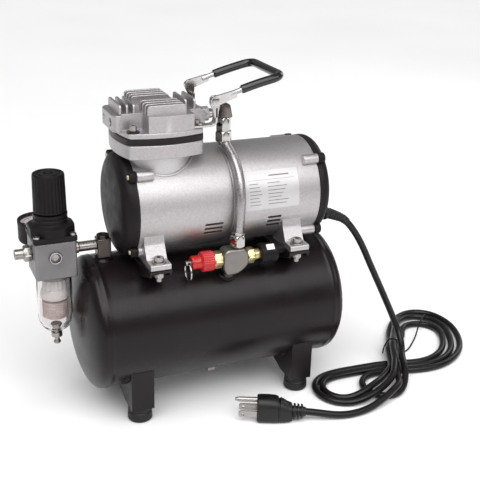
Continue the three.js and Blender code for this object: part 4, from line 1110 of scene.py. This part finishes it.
def add_fittings():
    outlet = carve(nut("x", (-171.6, 0, PORT_Z), 13, 6.8),
        joins=[rod("x", (-179.2, 0, PORT_Z), 4.6, 9, 0.5)],
        cuts=[rod("x", (-181, 0, PORT_Z), 2.8, 18, 0.1)])
    piece("outlet_nut", outlet, "steel", "outlet_fitting")
    inlet = [(0, -127.2), (5.6, -127.2), (5.6, -123), (4.6, -122.4), (4.6, -106.6), (0, -106.6)]
    piece("inlet_pipe", turned("x", (0, 0, PORT_Z), inlet, 0.4), "steel", "regulator_inlet_pipe")
    elbow = prism("z", (0, 0, 150), soften(square(OUTLET_X, 0, 6.3), 1.6), 18.5)
    piece("outlet_elbow_block", elbow, "dark_nickel", "tank_outlet_elbow", bevel=1.2, segments=3)
    crown = [(0, 0), (5.7, 0), (5.7, 3.7), (3.4, 3.7), (3.4, 2.6), (0, 2.6)]
    piece("outlet_elbow_crown", turned("z", (OUTLET_X, 0, 167.5), crown, 0.4), "dark_nickel")


add_regulator()
add_bowl()
add_gauge()
add_fittings()

# ---- floor, light and world ----

FLOOR_HALF, FLOOR_COLOUR, FLOOR_DROP = 9, 0xF7F7F7, 0.0002
# The world lights the piece with WORLD_STRENGTH, and the camera sees it as BACKDROP.
WORLD_STRENGTH, BACKDROP = 0.27, (0.9, 0.9, 0.9, 1)
SUN_STRENGTH, SUN_FROM, SUN_SPREAD = 2.7, (-0.35, -0.45, 1), 60
LIGHTS = [
    # name, place, size, power
    ("softbox", (0.5, -1.1, 1.05), (1.4, 0.8), 9.5),
    ("side", (1.25, 0.5, 0.8), (0.5, 0.8), 3),
]


def add_floor():
    mesh = to_mesh("floor", ([(x, y, 0) for x, y in square(0, 0, FLOOR_HALF)], [[0, 1, 2, 3]]))
    floor = add_object("floor", mesh)
    floor.location = (0, 0, cad_low.z - FLOOR_DROP)
    mesh.materials.append(finish("floor", FLOOR_COLOUR, 0.7, 0, (2, 0.01), (40, 0.01)))


def add_world():
    world = bpy.data.worlds.new("studio")
    world.use_nodes = True
    tree = world.node_tree
    dim = tree.nodes["Background"]
    dim.inputs["Color"].default_value = (1, 1, 1, 1)
    dim.inputs["Strength"].default_value = WORLD_STRENGTH
    pale = tree.nodes.new("ShaderNodeBackground")
    pale.inputs["Color"].default_value = BACKDROP
    mixer = tree.nodes.new("ShaderNodeMixShader")
    seen = tree.nodes.new("ShaderNodeLightPath").outputs["Is Camera Ray"]
    for i, output in enumerate((seen, dim.outputs[0], pale.outputs[0])):
        tree.links.new(output, mixer.inputs[i])
    tree.links.new(mixer.outputs[0], tree.nodes["World Output"].inputs["Surface"])
    bpy.context.scene.world = world


def add_lights():
    data = bpy.data.lights.new("daylight", "SUN")
    data.energy, data.angle = SUN_STRENGTH, radians(SUN_SPREAD)
    sun = add_object("daylight", data)
    sun.rotation_euler = Vector(SUN_FROM).to_track_quat("Z", "Y").to_euler()
    target = at(20, 0, 150)
    for name, place, size, power in LIGHTS:
        data = bpy.data.lights.new(name, "AREA")
        data.shape, data.size, data.size_y, data.energy = "RECTANGLE", size[0], size[1], power
        light = add_object(name, data)
        light.location = place
        light.rotation_euler = (target - Vector(place)).to_track_quat("-Z", "Y").to_euler()


add_floor()
add_world()
add_lights()
view = bpy.context.scene.view_settings
view.view_transform, view.exposure = "Standard", 0
